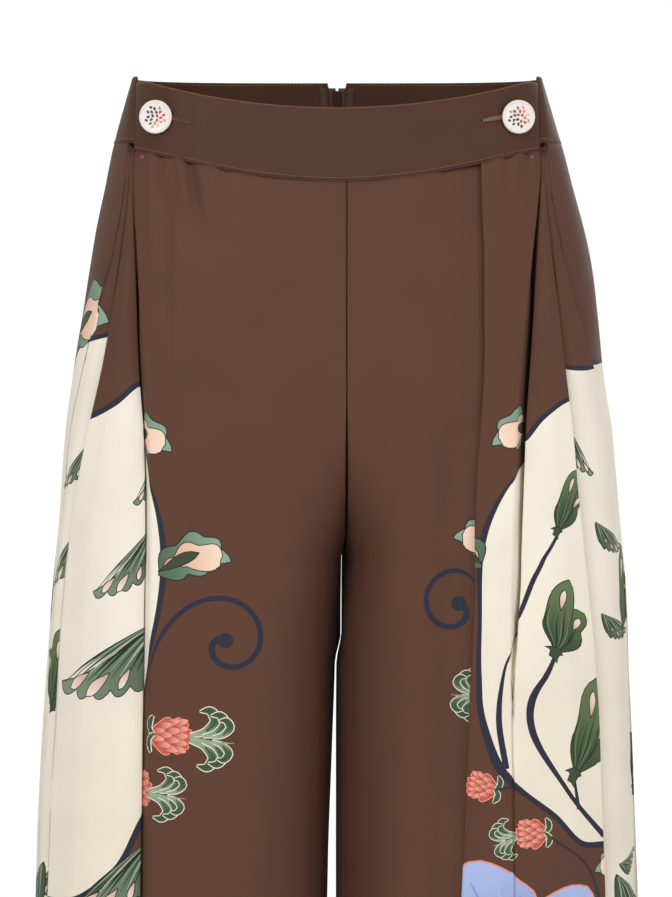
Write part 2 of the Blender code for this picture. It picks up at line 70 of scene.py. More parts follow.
# Half-width of each side, and its fold edges from the centre line: side pleats a, b and c, knife pleat p
sides = {
    "right": {
        "level": (0, -50, -80, -110, -150, -190, -230, -280, -340, -410, -480, -548, -800, -1050),
        "side": (136, 148.6, 156, 162.4, 169.3, 175.1, 181, 184.8, 190.3, 195.8, 200.5, 203, 213, 222),
        "a": (126, 132.2, 132.7, 131, 128.4, 126, 122.6, 121.2, 121.2, 121.6, 122.4, 123.4, 128, 134),
        "b": (128, 134.4, 136, 139.8, 146.7, 154.2, 163.2, 173.2, 181.2, 185.7, 190, 192.6, 202, 210),
        "c": (130, 136.4, 139.6, 145.2, 157, 166, 175, 180.5, 187, 192, 197, 199, 209, 218),
        "inner": (1, 1, 1, 1, 1, 1, 1, 1, 1.4, 2.4, 5, 6.6, 9, 10),
    },
    "left": {
        "level": (0, -50, -80, -110, -150, -190, -230, -280, -340, -410, -480, -548, -800, -1050),
        "side": (136, 149.5, 159, 166.9, 174.2, 178.8, 183.2, 187.9, 193.5, 196.4, 199.5, 202, 212, 222),
        "a": (126, 132.2, 131.3, 127.7, 123.1, 119.5, 116.3, 114.2, 112.6, 112.8, 114, 115, 119, 124),
        "b": (128, 134.4, 135.6, 138.8, 144, 148.4, 153.7, 158.5, 165.7, 172, 175, 177.8, 188, 198),
        "c": (130, 136.4, 139.4, 145.6, 155.8, 168.5, 180, 185.5, 191, 194.5, 197.5, 200, 209, 218),
        "p": (90, 93, 93.6, 94.8, 94.9, 94.8, 92.1, 89, 89, 86.8, 84.1, 81.5, 75, 70),
        "inner": (1, 1, 1, 1, 1, 1, 1, 0.7, 0.2, -0.7, -0.8, -0.8, 3, 5),
    },
}

# Each side pleat: where it opens and is full, how far it dips, its gap and step, and where it closes again
pleats = {
    "right": {
        "a": {"opens": 50, "full": 190, "dip": 25, "gap": 6, "step": 6, "closes": (1400, 1500)},
        "b": {"opens": 96, "full": 260, "dip": 17, "gap": 3, "step": 6, "closes": (1400, 1500)},
        "c": {"opens": 98, "full": 134, "dip": 7, "gap": 3, "step": 4, "closes": (140, 185)},
    },
    "left": {
        "a": {"opens": 50, "full": 170, "dip": 24, "gap": 8, "step": 6, "closes": (320, 425)},
        "b": {"opens": 96, "full": 260, "dip": 15, "gap": 4, "step": 7, "closes": (1400, 1500)},
        "c": {"opens": 98, "full": 160, "dip": 11, "gap": 3, "step": 5, "closes": (185, 235)},
    },
}

# Which way a pleat dips: along the cloth and inwards
pleatWay = {"a": (0.55, 0.83), "b": (-0.75, 0.66), "c": (-0.75, 0.66)}

signs = {"right": -1, "left": 1}

cut = {
    "bandDepth": 50.0, "bandPly": 1.5, "legPly": 0.55, "seamGap": 0.3, "lapGap": 0.9, "cadBandPly": 1.8,
    "hem": -1050.0, "crotch": -318.0, "riseCurve": -200.0, "flapEnd": 133.0, "backLift": 5.5,
    "underlap": 92.0, "shutGap": 1.4, "knifeDepth": (2.5, 9.0), "knifeLayers": (3.8, 1.7),
    "knifeEase": 30.0, "zipBottom": -186.0, "foldAt": 130.0,
}

# What the eye sees from the front: distance and height of the eye, for placing the print and the camera
eye = {"distance": 2700.0, "height": -106.0, "aim": (-0.7, -247.6), "lens": 161.7, "sensor": 36.0}


def smoothStep(value, start, end):
    t = np.clip((value - start) / (end - start), 0.0, 1.0)
    return t * t * (3 - 2 * t)


def readTable(levels, values, level):
    # a smooth curve through a table column
    x = -np.array(levels, float)
    v = np.array(values, float)
    slopes = np.gradient(v, x)
    place = min(max(-level, x[0]), x[-1])
    i = min(int(np.searchsorted(x, place, side="right")) - 1, len(x) - 2)
    width = x[i + 1] - x[i]
    t = (place - x[i]) / width
    return ((2 * t**3 - 3 * t**2 + 1) * v[i] + (t**3 - 2 * t**2 + t) * width * slopes[i]
            + (3 * t**2 - 2 * t**3) * v[i + 1] + (t**3 - t**2) * width * slopes[i + 1])


@lru_cache(maxsize=None)
def baseSection(side, level):
    # the plan section without folds: places 0 to 4 run from the centre front round the side to the back
    front, back, flat, square = (readTable(body["level"], body[key], level)
                                 for key in ("front", "back", "flat", "square"))
    half = readTable(sides[side]["level"], sides[side]["side"], level)
    inner = readTable(sides[side]["level"], sides[side]["inner"], level)
    drop = np.clip((cut["riseCurve"] - level) / (cut["riseCurve"] - cut["crotch"]), 0, 1)
    leg = 1 - math.sqrt(1 - drop * drop)
    place = np.linspace(0, 4, 720)
    seam = cut["seamGap"] / 2
    points = np.zeros((len(place), 2))
    for start, depth, sign in ((0, front, -1), (4, back, 1)):
        f = np.clip(np.abs(place - start), 0, 1)
        g = np.clip(np.abs(place - start) - 1, 0, 1) * math.pi / 2
        bodyX = seam + (flat - seam) * f
        legX = flat - (flat - inner) * np.cos(f * math.pi / 2) ** 0.8
        legY = seam + (depth - seam) * np.sin(f * math.pi / 2) ** 0.8
        x = (1 - leg) * bodyX + leg * legX
        y = (1 - leg) * depth + leg * legY
        x = np.where(g > 0, flat + (half - flat) * np.sin(g) ** (2 / square), x)
        y = np.where(g > 0, depth * np.maximum(np.cos(g), 0) ** (2 / square), y)
        near = np.abs(place - start) <= 2
        points[near, 0] = x[near]
        points[near, 1] = sign * y[near]
    return place, points


def walk(section, at, inset=0.0):
    # points at places of a section, moved in from the surface
    place, points = section
    dx, dy = np.gradient(points[:, 0]), np.gradient(points[:, 1])
    length = np.hypot(dx, dy)
    outX, outY = np.interp(at, place, dy / length), np.interp(at, place, -dx / length)
    size = np.hypot(outX, outY)
    return np.stack([np.interp(at, place, points[:, 0]) - inset * outX / size,
                     np.interp(at, place, points[:, 1]) - inset * outY / size], axis=-1)


def placeOfX(section, x, back=False):
    place, points = section
    half = len(place) // 2
    if back:
        return float(np.interp(x, points[half:, 0][::-1], place[half:][::-1]))
    return float(np.interp(x, points[:half, 0], place[:half]))


def runOf(points):
    # the length along a line of points, at each of them
    return np.concatenate([[0], np.cumsum(np.hypot(*np.diff(points, axis=0).T))])


def evenPlaces(section, start, end, count):
    fine = np.linspace(start, end, 160)
    length = runOf(walk(section, fine))
    return np.interp(np.linspace(0, length[-1], count), length, fine)


def speedAt(section, at):
    ends = walk(section, np.array([at - 0.01, at + 0.01]))
    return float(np.hypot(*(ends[1] - ends[0])) / 0.02)


def corner(before, here, after, radius, count):
    # points round a folded edge
    back, ahead = before - here, after - here
    first = here + back * min(radius / max(np.hypot(*back), 1e-6), 0.45)
    last = here + ahead * min(radius / max(np.hypot(*ahead), 1e-6), 0.45)
    return [(1 - t)**2 * first + 2 * t * (1 - t) * here + t**2 * last for t in np.linspace(0, 1, count)]


def between(first, last, count):
    return [first + (last - first) * k / (count + 1) for k in range(1, count + 1)]


def pleatCorners(side, name, section, level):
    # a side pleat's edge, the two corners at the bottom of its dip, and the start of the next face
    pleat = pleats[side][name]
    opening = smoothStep(-level, pleat["opens"], pleat["full"])
    opening *= 1 - smoothStep(-level, *pleat["closes"])
    at = placeOfX(section, readTable(sides[side]["level"], sides[side][name], level))
    gap = cut["shutGap"] + (pleat["gap"] - cut["shutGap"]) * opening
    step = pleat["step"] * opening
    nextAt = at + gap / speedAt(section, at)
    edge = walk(section, at)
    start = walk(section, nextAt, step)
    inwards = walk(section, at, 1.0) - edge
    along = np.array([inwards[1], -inwards[0]])
    way = pleatWay[name]
    dip = (way[0] * opening * along + way[1] * inwards) * pleat["dip"] * opening
    deep = [edge + (start - edge) * f + dip for f in (0.3, 0.7)]
    return {"at": at, "nextAt": nextAt, "step": step, "corners": [edge, deep[0], deep[1], start]}


class Path:
    # one plan section of a panel; marks remember the columns where its faces start and end
    def __init__(self):
        self.points = []
        self.marks = {}

    def add(self, points):
        self.points.extend(points)

    def mark(self, name):
        self.marks[name] = len(self.points) - 1


def faceOf(section, start, end, count, step):
    at = evenPlaces(section, start, end, count)
    return list(walk(section, at, step * (1 - np.linspace(0, 1, count))**2))


def seamRoll(section, start, end):
    # the turned edge at a centre seam: the cloth rolls in over its last millimetre
    speed = speedAt(section, (start + end) / 2)
    reach = np.array([0.0, 0.25, 0.7, 1.6]) / speed * (1 if end > start else -1)
    return walk(section, start + reach, np.array([1.3, 0.45, 0.12, 0.0]))


def frontPath(side, level):
    section = baseSection(side, level)
    a = pleatCorners(side, "a", section, level)
    b = pleatCorners(side, "b", section, level)
    room = 3.0 / speedAt(section, a["at"])
    path = Path()
    path.add(seamRoll(section, 0.0, 0.02))
    first = 2.6 / speedAt(section, 0.01)
    path.mark("middle")
    if "p" in sides[side]:
        tipX = readTable(sides[side]["level"], sides[side]["p"], level)
        shallow, deep = cut["knifeDepth"]
        lap = shallow + (deep - shallow) * smoothStep(-level, 50, 100)
        low, middle = cut["knifeLayers"]
        speed = speedAt(section, placeOfX(section, tipX))
        at = evenPlaces(section, first, placeOfX(section, tipX + lap - 2), 38)
        inset = low * smoothStep(walk(section, at)[:, 0], tipX - cut["knifeEase"], tipX - 3)
        path.add(walk(section, at, inset))
        turn, tip = placeOfX(section, tipX + lap), placeOfX(section, tipX)
        swing = np.linspace(-math.pi / 2, math.pi / 2, 5)
        half = (low - middle) / 2
        path.add(walk(section, turn + half * np.cos(swing) / speed, low - half - half * np.sin(swing)))
        path.mark("under")
        path.add(walk(section, np.linspace(turn, tip, 5)[1:-1], middle))
        half = middle / 2
        path.add(walk(section, tip - half * np.cos(swing) / speed, half - half * np.sin(swing)))
        path.mark("flap")
        path.add(walk(section, evenPlaces(section, tip, a["at"] - room, 16)[1:]))
    else:
        path.add(walk(section, evenPlaces(section, first, a["at"] - room, 46)))
    edge, deep1, deep2, start = a["corners"]
    faceB = faceOf(section, a["nextAt"], b["at"] - 0.4 * (b["at"] - a["nextAt"]), 18, a["step"])
    path.add(corner(path.points[-1], edge, deep1, 2.0, 6))
    path.mark("edgeA")
    path.add(between(path.points[-1], deep1, 3))
    path.add(corner(edge, deep1, deep2, 1.2, 3))
    path.add(corner(deep1, deep2, start, 1.2, 3))
    path.add(between(deep2, start, 3))
    path.add(corner(deep2, start, faceB[1], 2.6, 5))
    path.mark("faceB")
    path.add(faceB[1:])
    edge, deep1, deep2, start = b["corners"]
    path.add(between(path.points[-1], edge, 4))
    path.add(corner(path.points[-1], edge, deep1, 2.0, 6))
    path.mark("edgeB")
    away = (deep1 - deep2) / np.hypot(*(deep1 - deep2)) * cut["seamGap"] / 2
    path.add(between(path.points[-1], deep1, 3))
    path.add([deep1, (deep1 + deep2) / 2 + away])
    return path


def backPath(side, level):
    section = baseSection(side, level)
    b = pleatCorners(side, "b", section, level)
    c = pleatCorners(side, "c", section, level)
    edge, deep1, deep2, start = b["corners"]
    away = (deep2 - deep1) / np.hypot(*(deep2 - deep1)) * cut["seamGap"] / 2
    faceC = faceOf(section, b["nextAt"], c["at"] - 0.35 * (c["at"] - b["nextAt"]), 9, b["step"])
    path = Path()
    path.add([(deep1 + deep2) / 2 + away, deep2])
    path.add(between(deep2, start, 4))
    path.add(corner(deep2, start, faceC[1], 1.8, 5))
    path.mark("faceC")
    path.add(faceC[1:])
    edge, deep1, deep2, start = c["corners"]
    path.add(between(path.points[-1], edge, 2))
    path.add(corner(path.points[-1], edge, deep1, 1.8, 5))
    path.mark("edgeC")
    path.add(between(path.points[-1], deep1, 2))
    path.add(corner(edge, deep1, deep2, 1.0, 3))
    path.add(corner(deep1, deep2, start, 1.0, 3))
    path.add(between(deep2, start, 2))
    end = 4.0 if level <= cut["zipBottom"] else placeOfX(section, 0.6, back=True)
    speed = speedAt(section, end - 0.02)
    rest = evenPlaces(section, c["nextAt"], end - 2.6 / speed, 52)
    inset = c["step"] * np.clip(1 - 3 * np.linspace(0, 1, 52), 0, 1)**2
    outer = list(walk(section, rest, inset))
    path.add(corner(deep2, start, outer[1], 1.8, 4))
    path.mark("sideBack")
    path.add(outer[1:])
    path.mark("seat")
    path.add(seamRoll(section, end, end - 0.02)[::-1])
    return path


def flapDrop(x, level):
    # how far the front waistband hangs below its level, dipping towards the centre front
    reach = np.clip(1 - (np.abs(x) / 136.0)**2, 0, 1)
    top = np.minimum(-22.0 * reach**0.9, -4.5)
    f = np.clip(-level / cut["bandDepth"], 0, 1)
    return top * (1 - f) - 20.5 * reach**1.35 * f


def backRise(x, pastFlap, level):
    # how far the back waistband stands above its level; the underlap follows the flap
    hidden = 1 - smoothStep(pastFlap, 0.4, 3.4)
    f = np.clip(-level / cut["bandDepth"], 0, 1)
    return hidden * (flapDrop(x, level) - 2.5 * (1 - f) + f) + (1 - hidden) * cut["backLift"] * f


class Grid:
    # a sheet of points in rows and columns, with its cloth coordinates q (along the row) and level
    def __init__(self, points, levels, marks):
        self.points = points
        self.levels = np.array(levels, float)
        self.marks = marks
        steps = np.hypot(np.diff(points[:, :, 0], axis=1), np.diff(points[:, :, 1], axis=1))
        self.q = np.concatenate([np.zeros((len(points), 1)), np.cumsum(steps, axis=1)], axis=1)
        alongRow = np.gradient(points, axis=1)
        downColumn = np.gradient(points, axis=0)
        normal = np.cross(alongRow, -downColumn)
        self.normals = normal / np.maximum(np.linalg.norm(normal, axis=2, keepdims=True), 1e-9)

    def rowOf(self, level):
        beyond = max(self.levels[-1] - level, 0) - max(level - self.levels[0], 0)
        return float(np.interp(-level, -self.levels, np.arange(len(self.levels)))) + beyond / 10

    def columnOf(self, q, level):
        _, along = self.rowAt(level)
        beyond = max(q - along[-1], 0) - max(along[0] - q, 0)
        return float(np.interp(q, along, np.arange(len(along)))) + beyond / 5

    def rowAt(self, level):
        row = np.clip(self.rowOf(level), 0, len(self.levels) - 1)
        low = min(int(row), len(self.levels) - 2)
        f = row - low
        return tuple(sheet[low] * (1 - f) + sheet[low + 1] * f for sheet in (self.points, self.q))


# Soft gathers and creases of each panel: distance from the centre line, top and bottom level, half-width,
# depth (in is negative) and how far it drifts sideways on the way down
creases = {
    "front_right": [
        (115, -50, -92, 2.2, -2.25, 2), (98, -50, -108, 2.4, -3.9, -9), (103, -50, -100, 3.0, 2.4, -6),
        (75, -50, -84, 2.6, -1.5, 1), (110, -80, -215, 3.5, -1.3, 1), (105, -80, -225, 3.2, 1.2, 0),
        (84, -50, -130, 6.0, 1.2, -5), (121, -52, -150, 2.6, 1.35, -1), (48, -60, -210, 12.0, -0.7, -6),
        (60, -420, -900, 22.0, 1.6, 6), (95, -380, -960, 16.0, -1.8, -6), (30, -470, -1050, 16.0, -1.6, 4),
    ],
    "front_left": [
        (124, -50, -78, 1.8, -2.1, 1), (117, -50, -84, 2.0, 1.8, -2), (110, -50, -72, 1.9, -1.95, 1),
        (103, -50, -96, 3.0, 1.35, -1), (66, -50, -82, 4.0, -1.2, 2), (40, -60, -190, 13.0, 0.6, 6),
        (72, -230, -1040, 15.0, -6.0, -4), (101, -300, -980, 9.0, 1.5, -3),
        (40, -430, -1000, 14.0, 1.0, 4), (28, -460, -1050, 15.0, 1.6, -5),
    ],
    "back_right": [
        (104, -46, -92, 2.6, -1.95, -3), (78, -46, -80, 2.4, -1.5, 2), (52, -48, -118, 2.2, -3.3, -4),
        (92, -60, -200, 7.0, 1.1, 5), (70, -300, -900, 20.0, -2.0, 8), (112, -340, -1000, 14.0, 2.2, -6),
        (36, -400, -1050, 17.0, 2.0, -5),
    ],
    "back_left": [
        (100, -46, -86, 2.4, -1.8, 4), (72, -46, -94, 2.8, -1.8, -2), (54, -48, -114, 2.2, -3.15, 5),
        (86, -60, -220, 8.0, 1.0, -4), (64, -320, -940, 18.0, 2.1, -6), (108, -300, -980, 15.0, -2.1, 7),
        (34, -390, -1050, 16.0, -1.8, 4),
    ],
}

panelSettings = {
    "topRows": np.arange(50, 80, 2.5), "bodyRows": np.arange(80, 560, 6.0),
    "lowRows": np.arange(560, 1051, 14.0), "sway": (6.3, 70.0), "closeLegs": (3.6, 42.0), "tuck": 2.2,
}


def legGrid(side, name, pathOf, back):
    levels = -np.concatenate([panelSettings[key] for key in ("topRows", "bodyRows", "lowRows")])
    levels = np.append(levels, cut["hem"]) if levels[-1] > cut["hem"] + 1 else levels
    paths = [pathOf(side, float(level)) for level in levels]
    sign = signs[side]
    first = np.array(paths[0].points)
    if back:
        along = runOf(first)
        drop, fadeLevel = cut["backLift"] * smoothStep(along, 0, 7), 80
    else:
        drop, fadeLevel = flapDrop(first[:, 0], -cut["bandDepth"]), 200
    points = np.zeros((len(levels), len(first), 3))
    for r, (level, path) in enumerate(zip(levels, paths)):
        plan = np.array(path.points)
        points[r, :, 0] = plan[:, 0]
        points[r, :, 1] = plan[:, 1]
        tuck = panelSettings["tuck"] * (1 - smoothStep(-level, 50, 52.5))
        points[r, :, 2] = level + drop * (1 - smoothStep(-level, 50, fadeLevel)) + tuck
    grid = Grid(points, levels, paths[0].marks)
    height = points[:, :, 2]
    shift = np.zeros(points.shape[:2])
    for x, top, bottom, width, depth, drift in creases[name]:
        for r in range(len(levels)):
            z = height[r]
            place = x + drift * np.clip((top - z) / (top - bottom), 0, 1)
            near = np.exp(-((points[r, :, 0] - place) / width)**2)
            if back:
                near = near * (points[r, :, 1] > 20)
            else:
                edge = grid.marks["edgeA"]
                near = near * (np.arange(len(near)) <= edge)
                near = near * smoothStep(points[r, edge, 0] - points[r, :, 0], 0, 7)
            ends = smoothStep(-z, -bottom - 0.6 * (top - bottom), -bottom)
            shift[r] += depth * near * smoothStep(-z, -top - 14, -top + 4) * (1 - ends)
    ripple = (0.22 * np.sin(grid.q / 7.3 + height / 41.0 + 1.3 * sign) * np.sin(height / 23.0 + grid.q / 61.0)
              + 0.5 * np.sin(grid.q / 31.0 + 2.1 + sign) * np.sin(height / 97.0 + 0.8 * sign))
    shift += ripple * smoothStep(-height, 60, 160)
    seam = smoothStep(-levels, 50.0, 53.0)[:, None]
    shift -= 0.7 * (1 - seam)
    out = grid.normals * np.array([1, 1, 0.3])
    if not back:
        # the layers of a pleat move together, whichever way each of them faces
        ahead = points[:, :grid.marks["edgeA"] + 1, 0] * 0.0012
        out[:, :grid.marks["edgeA"] + 1] = np.stack([ahead, -np.ones_like(ahead), 0 * ahead], axis=-1)
    points = points + out * shift[:, :, None]
    # the front rise is pulled a little to the wearer's left, and the legs lean together under the crotch
    x, y, z = points[:, :, 0], points[:, :, 1], points[:, :, 2]
    pull, reach = panelSettings["sway"]
    near = np.exp(-(x / reach)**2) * smoothStep(-y, 0, 60)
    x = x + sign * near * pull * (1 - smoothStep(-z, 292, 388)) * smoothStep(-z, 20, 60)
    lean, depth = panelSettings["closeLegs"]
    near = np.exp(-((y / depth)**2)) * np.exp(-((x / 26)**2))
    x = x + sign * lean * near * smoothStep(-z, 300, 318) * (1 - smoothStep(-z, 372, 392))
    points = np.stack([sign * x, y, z], axis=-1)
    grid = Grid(points, levels, paths[0].marks)
    if sign < 0:
        grid.normals = -grid.normals
    if not back:
        grid.q += cut["foldAt"] - grid.q[:, [grid.marks["edgeA"]]]
    grid.sign = sign
    grid.name = name
    return grid


grids = {}
for side in ("right", "left"):
    grids["front_" + side] = legGrid(side, "front_" + side, frontPath, False)
    grids["back_" + side] = legGrid(side, "back_" + side, backPath, True)
print("leg panels laid out")


# The faces of the leg panels that are seen from the front: the columns where each starts and ends
faces = {"front": (None, "edgeA"), "flap": ("flap", "edgeA"), "inside": (None, "under"),
         "b": ("faceB", "edgeB"), "c": ("faceC", None)}


def spot(grid, face, x, z):
    # the cloth point of a face that is seen at x, z in the plane of the waist's centre
    first, last = faces[face]
    first = grid.marks[first] if first else 0
    last = grid.marks[last] if last else grid.q.shape[1] - 1
    y = -95.0
    for _ in range(5):
        scale = (eye["distance"] + y) / eye["distance"]
        level = eye["height"] + (z - eye["height"]) * scale
        row, q = grid.rowAt(level)
        if face == "c":
            last = int(np.argmax(np.abs(row[:, 0])))
        order = np.argsort(row[first:last + 1, 0])
        across = row[first:last + 1][order]
        along = q[first:last + 1][order]
        y = float(np.interp(x * scale, across[:, 0], across[:, 1]))
        place = float(np.interp(x * scale, across[:, 0], along))
    return np.array([place, level])


def linear(code):
    # a colour code to the linear numbers that shaders use
    parts = [int(code[k:k + 2], 16) / 255 for k in (1, 3, 5)]
    return np.array([c / 12.92 if c <= 0.04045 else ((c + 0.055) / 1.055)**2.4 for c in parts])


class Value:
    # a number socket that takes Python's operators
    def __init__(self, shader, socket):
        self.shader = shader
        self.socket = socket

    def calc(self, operation, *items):
        return self.shader.node("ShaderNodeMath", {"operation": operation}, dict(enumerate(items)))

    def __add__(self, other):
        return self.calc("ADD", self, other)

    def __sub__(self, other):
        return self.calc("SUBTRACT", self, other)

    def __rsub__(self, other):
        return self.calc("SUBTRACT", other, self)

    def __mul__(self, other):
        return self.calc("MULTIPLY", self, other)

    __radd__ = __add__
    __rmul__ = __mul__

    def sine(self):
        return self.calc("SINE", self)


class Shader:
    # a material with one Principled shader, and one way to add any other node
    def __init__(self, name, **constants):
        self.material = bpy.data.materials.new(name)
        self.material.use_nodes = True
        self.tree = self.material.node_tree
        self.surface = self.tree.nodes["Principled BSDF"]
        for key, value in constants.items():
            self.surface.inputs[key.replace("_", " ")].default_value = value

    def node(self, kind, settings, sockets, out=0):
        node = self.tree.nodes.new(kind)
        for key, value in settings.items():
            setattr(node, key, value)
        for key, value in sockets.items():
            if isinstance(value, Value):
                self.tree.links.new(value.socket, node.inputs[key])
            else:
                node.inputs[key].default_value = value
        return Value(self, node.outputs[out])

    def mix(self, first, second, factor, blend="MIX"):
        return self.node("ShaderNodeMix", {"data_type": "RGBA", "blend_type": blend},
                         {0: factor, 6: first, 7: second}, 2)

    def grey(self, value):
        return self.node("ShaderNodeCombineColor", {}, {0: value, 1: value, 2: value})

    def noise(self, vector, scale, detail=2.0):
        return self.node("ShaderNodeTexNoise", {}, {"Vector": vector, "Scale": scale, "Detail": detail})

    def bump(self, height, strength, distance):
        sockets = {"Height": height, "Strength": strength, "Distance": distance}
        self.feed("Normal", self.node("ShaderNodeBump", {}, sockets))

    def feed(self, name, value):
        self.tree.links.new(value.socket, self.surface.inputs[name])


weave = {"thread": 0.42, "grain": 0.10, "cloud": 0.09, "bump": 0.35, "height": 0.00012}


def clothMaterial(name, brightness=1.0, roughness=0.62, sheen=0.03):
    # crepe weave: a fine uneven thread grain and slow clouds over the printed or dyed colour
    shader = Shader(name, Sheen_Weight=sheen, Sheen_Roughness=0.45, Specular_IOR_Level=0.22)
    uv = shader.node("ShaderNodeUVMap", {"uv_map": "cloth"}, {})
    across = shader.node("ShaderNodeSeparateXYZ", {}, {"Vector": uv})
    down = Value(shader, across.socket.node.outputs[1])
    turns = 2 * math.pi / (weave["thread"] * mm)
    wobble = shader.noise(uv, 900.0)
    threads = (across * turns + wobble * 5.0).sine() * (down * turns + wobble * 5.0).sine()
    grain = shader.noise(uv, 1500.0, 3.0)
    cloud = shader.noise(uv, 24.0, 3.0)
    shade = (brightness + (grain - 0.5) * (weave["grain"] * 2) + (cloud - 0.5) * (weave["cloud"] * 2)
             + threads * 0.02)
    colour = shader.node("ShaderNodeVertexColor", {"layer_name": "print"}, {})
    shader.feed("Base Color", shader.mix(colour, shader.grey(shade), 1.0, "MULTIPLY"))
    shader.feed("Roughness", roughness + (grain - 0.5) * 0.16)
    shader.bump(grain * 0.7 + threads * 0.3, weave["bump"], weave["height"])
    return shader.material


def makeMesh(name, points, polygons, uvs=None, colours=None):
    # a mesh from millimetre points, with cloth coordinates and a print colour at each corner
    mesh = bpy.data.meshes.new(name)
    corners = [tuple(int(i) for i in polygon) for polygon in polygons]
    mesh.from_pydata([tuple(p) for p in np.asarray(points) * mm], [], corners)
    if uvs is not None:
        layer = mesh.uv_layers.new(name="cloth")
        layer.data.foreach_set("uv", (np.asarray(uvs) * mm).ravel())
    if colours is not None:
        attribute = mesh.color_attributes.new("print", "FLOAT_COLOR", "CORNER")
        attribute.data.foreach_set("color", np.asarray(colours, float).ravel())
    mesh.update()
    mesh.shade_smooth()
    return mesh


def makePiece(name, mesh, materials, body="garment"):
    piece = bpy.data.objects.new(name, mesh)
    bpy.context.collection.objects.link(piece)
    for material in materials:
        mesh.materials.append(material)
    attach(piece, body)
    return piece


def thicken(piece, ply):
    # gives a sheet its thickness inwards, and keeps the result as a plain mesh
    modifier = piece.modifiers.new("ply", "SOLIDIFY")
    modifier.thickness = ply * mm
    modifier.offset = -1.0
    modifier.use_even_offset = False
    modifier.use_rim = True
    modifier.material_offset = 1 if len(piece.data.materials) > 1 else 0
    plain = bpy.data.meshes.new_from_object(piece.evaluated_get(bpy.context.evaluated_depsgraph_get()))
    piece.modifiers.clear()
    plain.name = piece.name
    piece.data = plain


dye = {"brown": linear("#5b3a2b"), "band": linear("#4c2e1e")}


def standsFor(node, q, levels):
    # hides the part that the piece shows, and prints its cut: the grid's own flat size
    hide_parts(node)
    size, area = flatSize(q, levels)
    print(node, "cut", round(size[0], 3), "x", round(size[1], 3), "m")


def quadSheet(name, points, q, levels, flip, materials, colour, ply):
    rows, columns = q.shape
    index = np.arange(rows * columns).reshape(rows, columns)
    quads = np.stack([index[:-1, :-1], index[:-1, 1:], index[1:, 1:], index[1:, :-1]], axis=-1).reshape(-1, 4)
    if flip:
        quads = quads[:, ::-1]
    flat = np.stack([q, np.broadcast_to(np.asarray(levels)[:, None], q.shape)], axis=-1).reshape(-1, 2)
    uvs = flat[quads.ravel()]
    shades = np.ones((rows - 1, columns - 1, 4, 4))
    shades[..., :3] = np.reshape(colour, (-1, 1, 1, 3))
    colours = shades.reshape(-1, 4)
    mesh = makeMesh(name, points.reshape(-1, 3), quads, uvs, colours)
    piece = makePiece(name, mesh, materials)
    thicken(piece, ply)
    return piece


def flatSize(q, levels):
    # the cut that shows: its greatest width, its length and its area, in metres
    widths = q[:, -1] - q[:, 0]
    levels = np.asarray(levels, float)
    area = float(np.sum((widths[1:] + widths[:-1]) / 2 * -np.diff(levels)))
    return (float(widths.max()) * mm, float(levels[0] - levels[-1]) * mm), area * mm * mm


def inkCut(verts, edges, rings, name):
    # cuts a flat mesh along closed outlines: its places, its triangles and the outline on top of each
    verts, faces = list(verts), []
    for ring in rings:
        ring = np.asarray(ring, float)
        ahead = np.roll(ring, -1, axis=0)
        if np.sum(ring[:, 0] * ahead[:, 1] - ring[:, 1] * ahead[:, 0]) < 0:
            ring = ring[::-1]
        longest = int(np.argmax(np.hypot(*(np.roll(ring, -1, axis=0) - ring).T)))
        faces.append(list(range(len(verts), len(verts) + len(ring))))
        verts += [tuple(p) for p in np.roll(ring, -longest, axis=0)]
    places, _, triangles, _, _, sources = delaunay_2d_cdt(verts, edges, faces, 0, 1e-6, True)
    places = np.array([tuple(p) for p in places])
    triangles = np.array([tuple(t) for t in triangles])
    corners = places[triangles]
    size = np.abs(np.cross(corners[:, 1] - corners[:, 0], corners[:, 2] - corners[:, 0])) / 2
    # an outline that folds back on itself can flood its surroundings, and is left out
    room = np.zeros(len(faces))
    for owners, one in zip(sources, size):
        for k in owners:
            room[k] += one
    spans = [np.ptp(np.array([verts[i] for i in face]), axis=0) for face in faces]
    sound = [room[k] <= 1.1 * spans[k][0] * spans[k][1] + 0.5 for k in range(len(faces))]
    top = np.array([max([k for k in owners if sound[k]], default=-1) for owners in sources])
    if not all(sound):
        print(name, "outlines left out:", [k for k in range(len(faces)) if not sound[k]])
    solid = size > 1e-9
    return places, triangles[solid], top[solid]


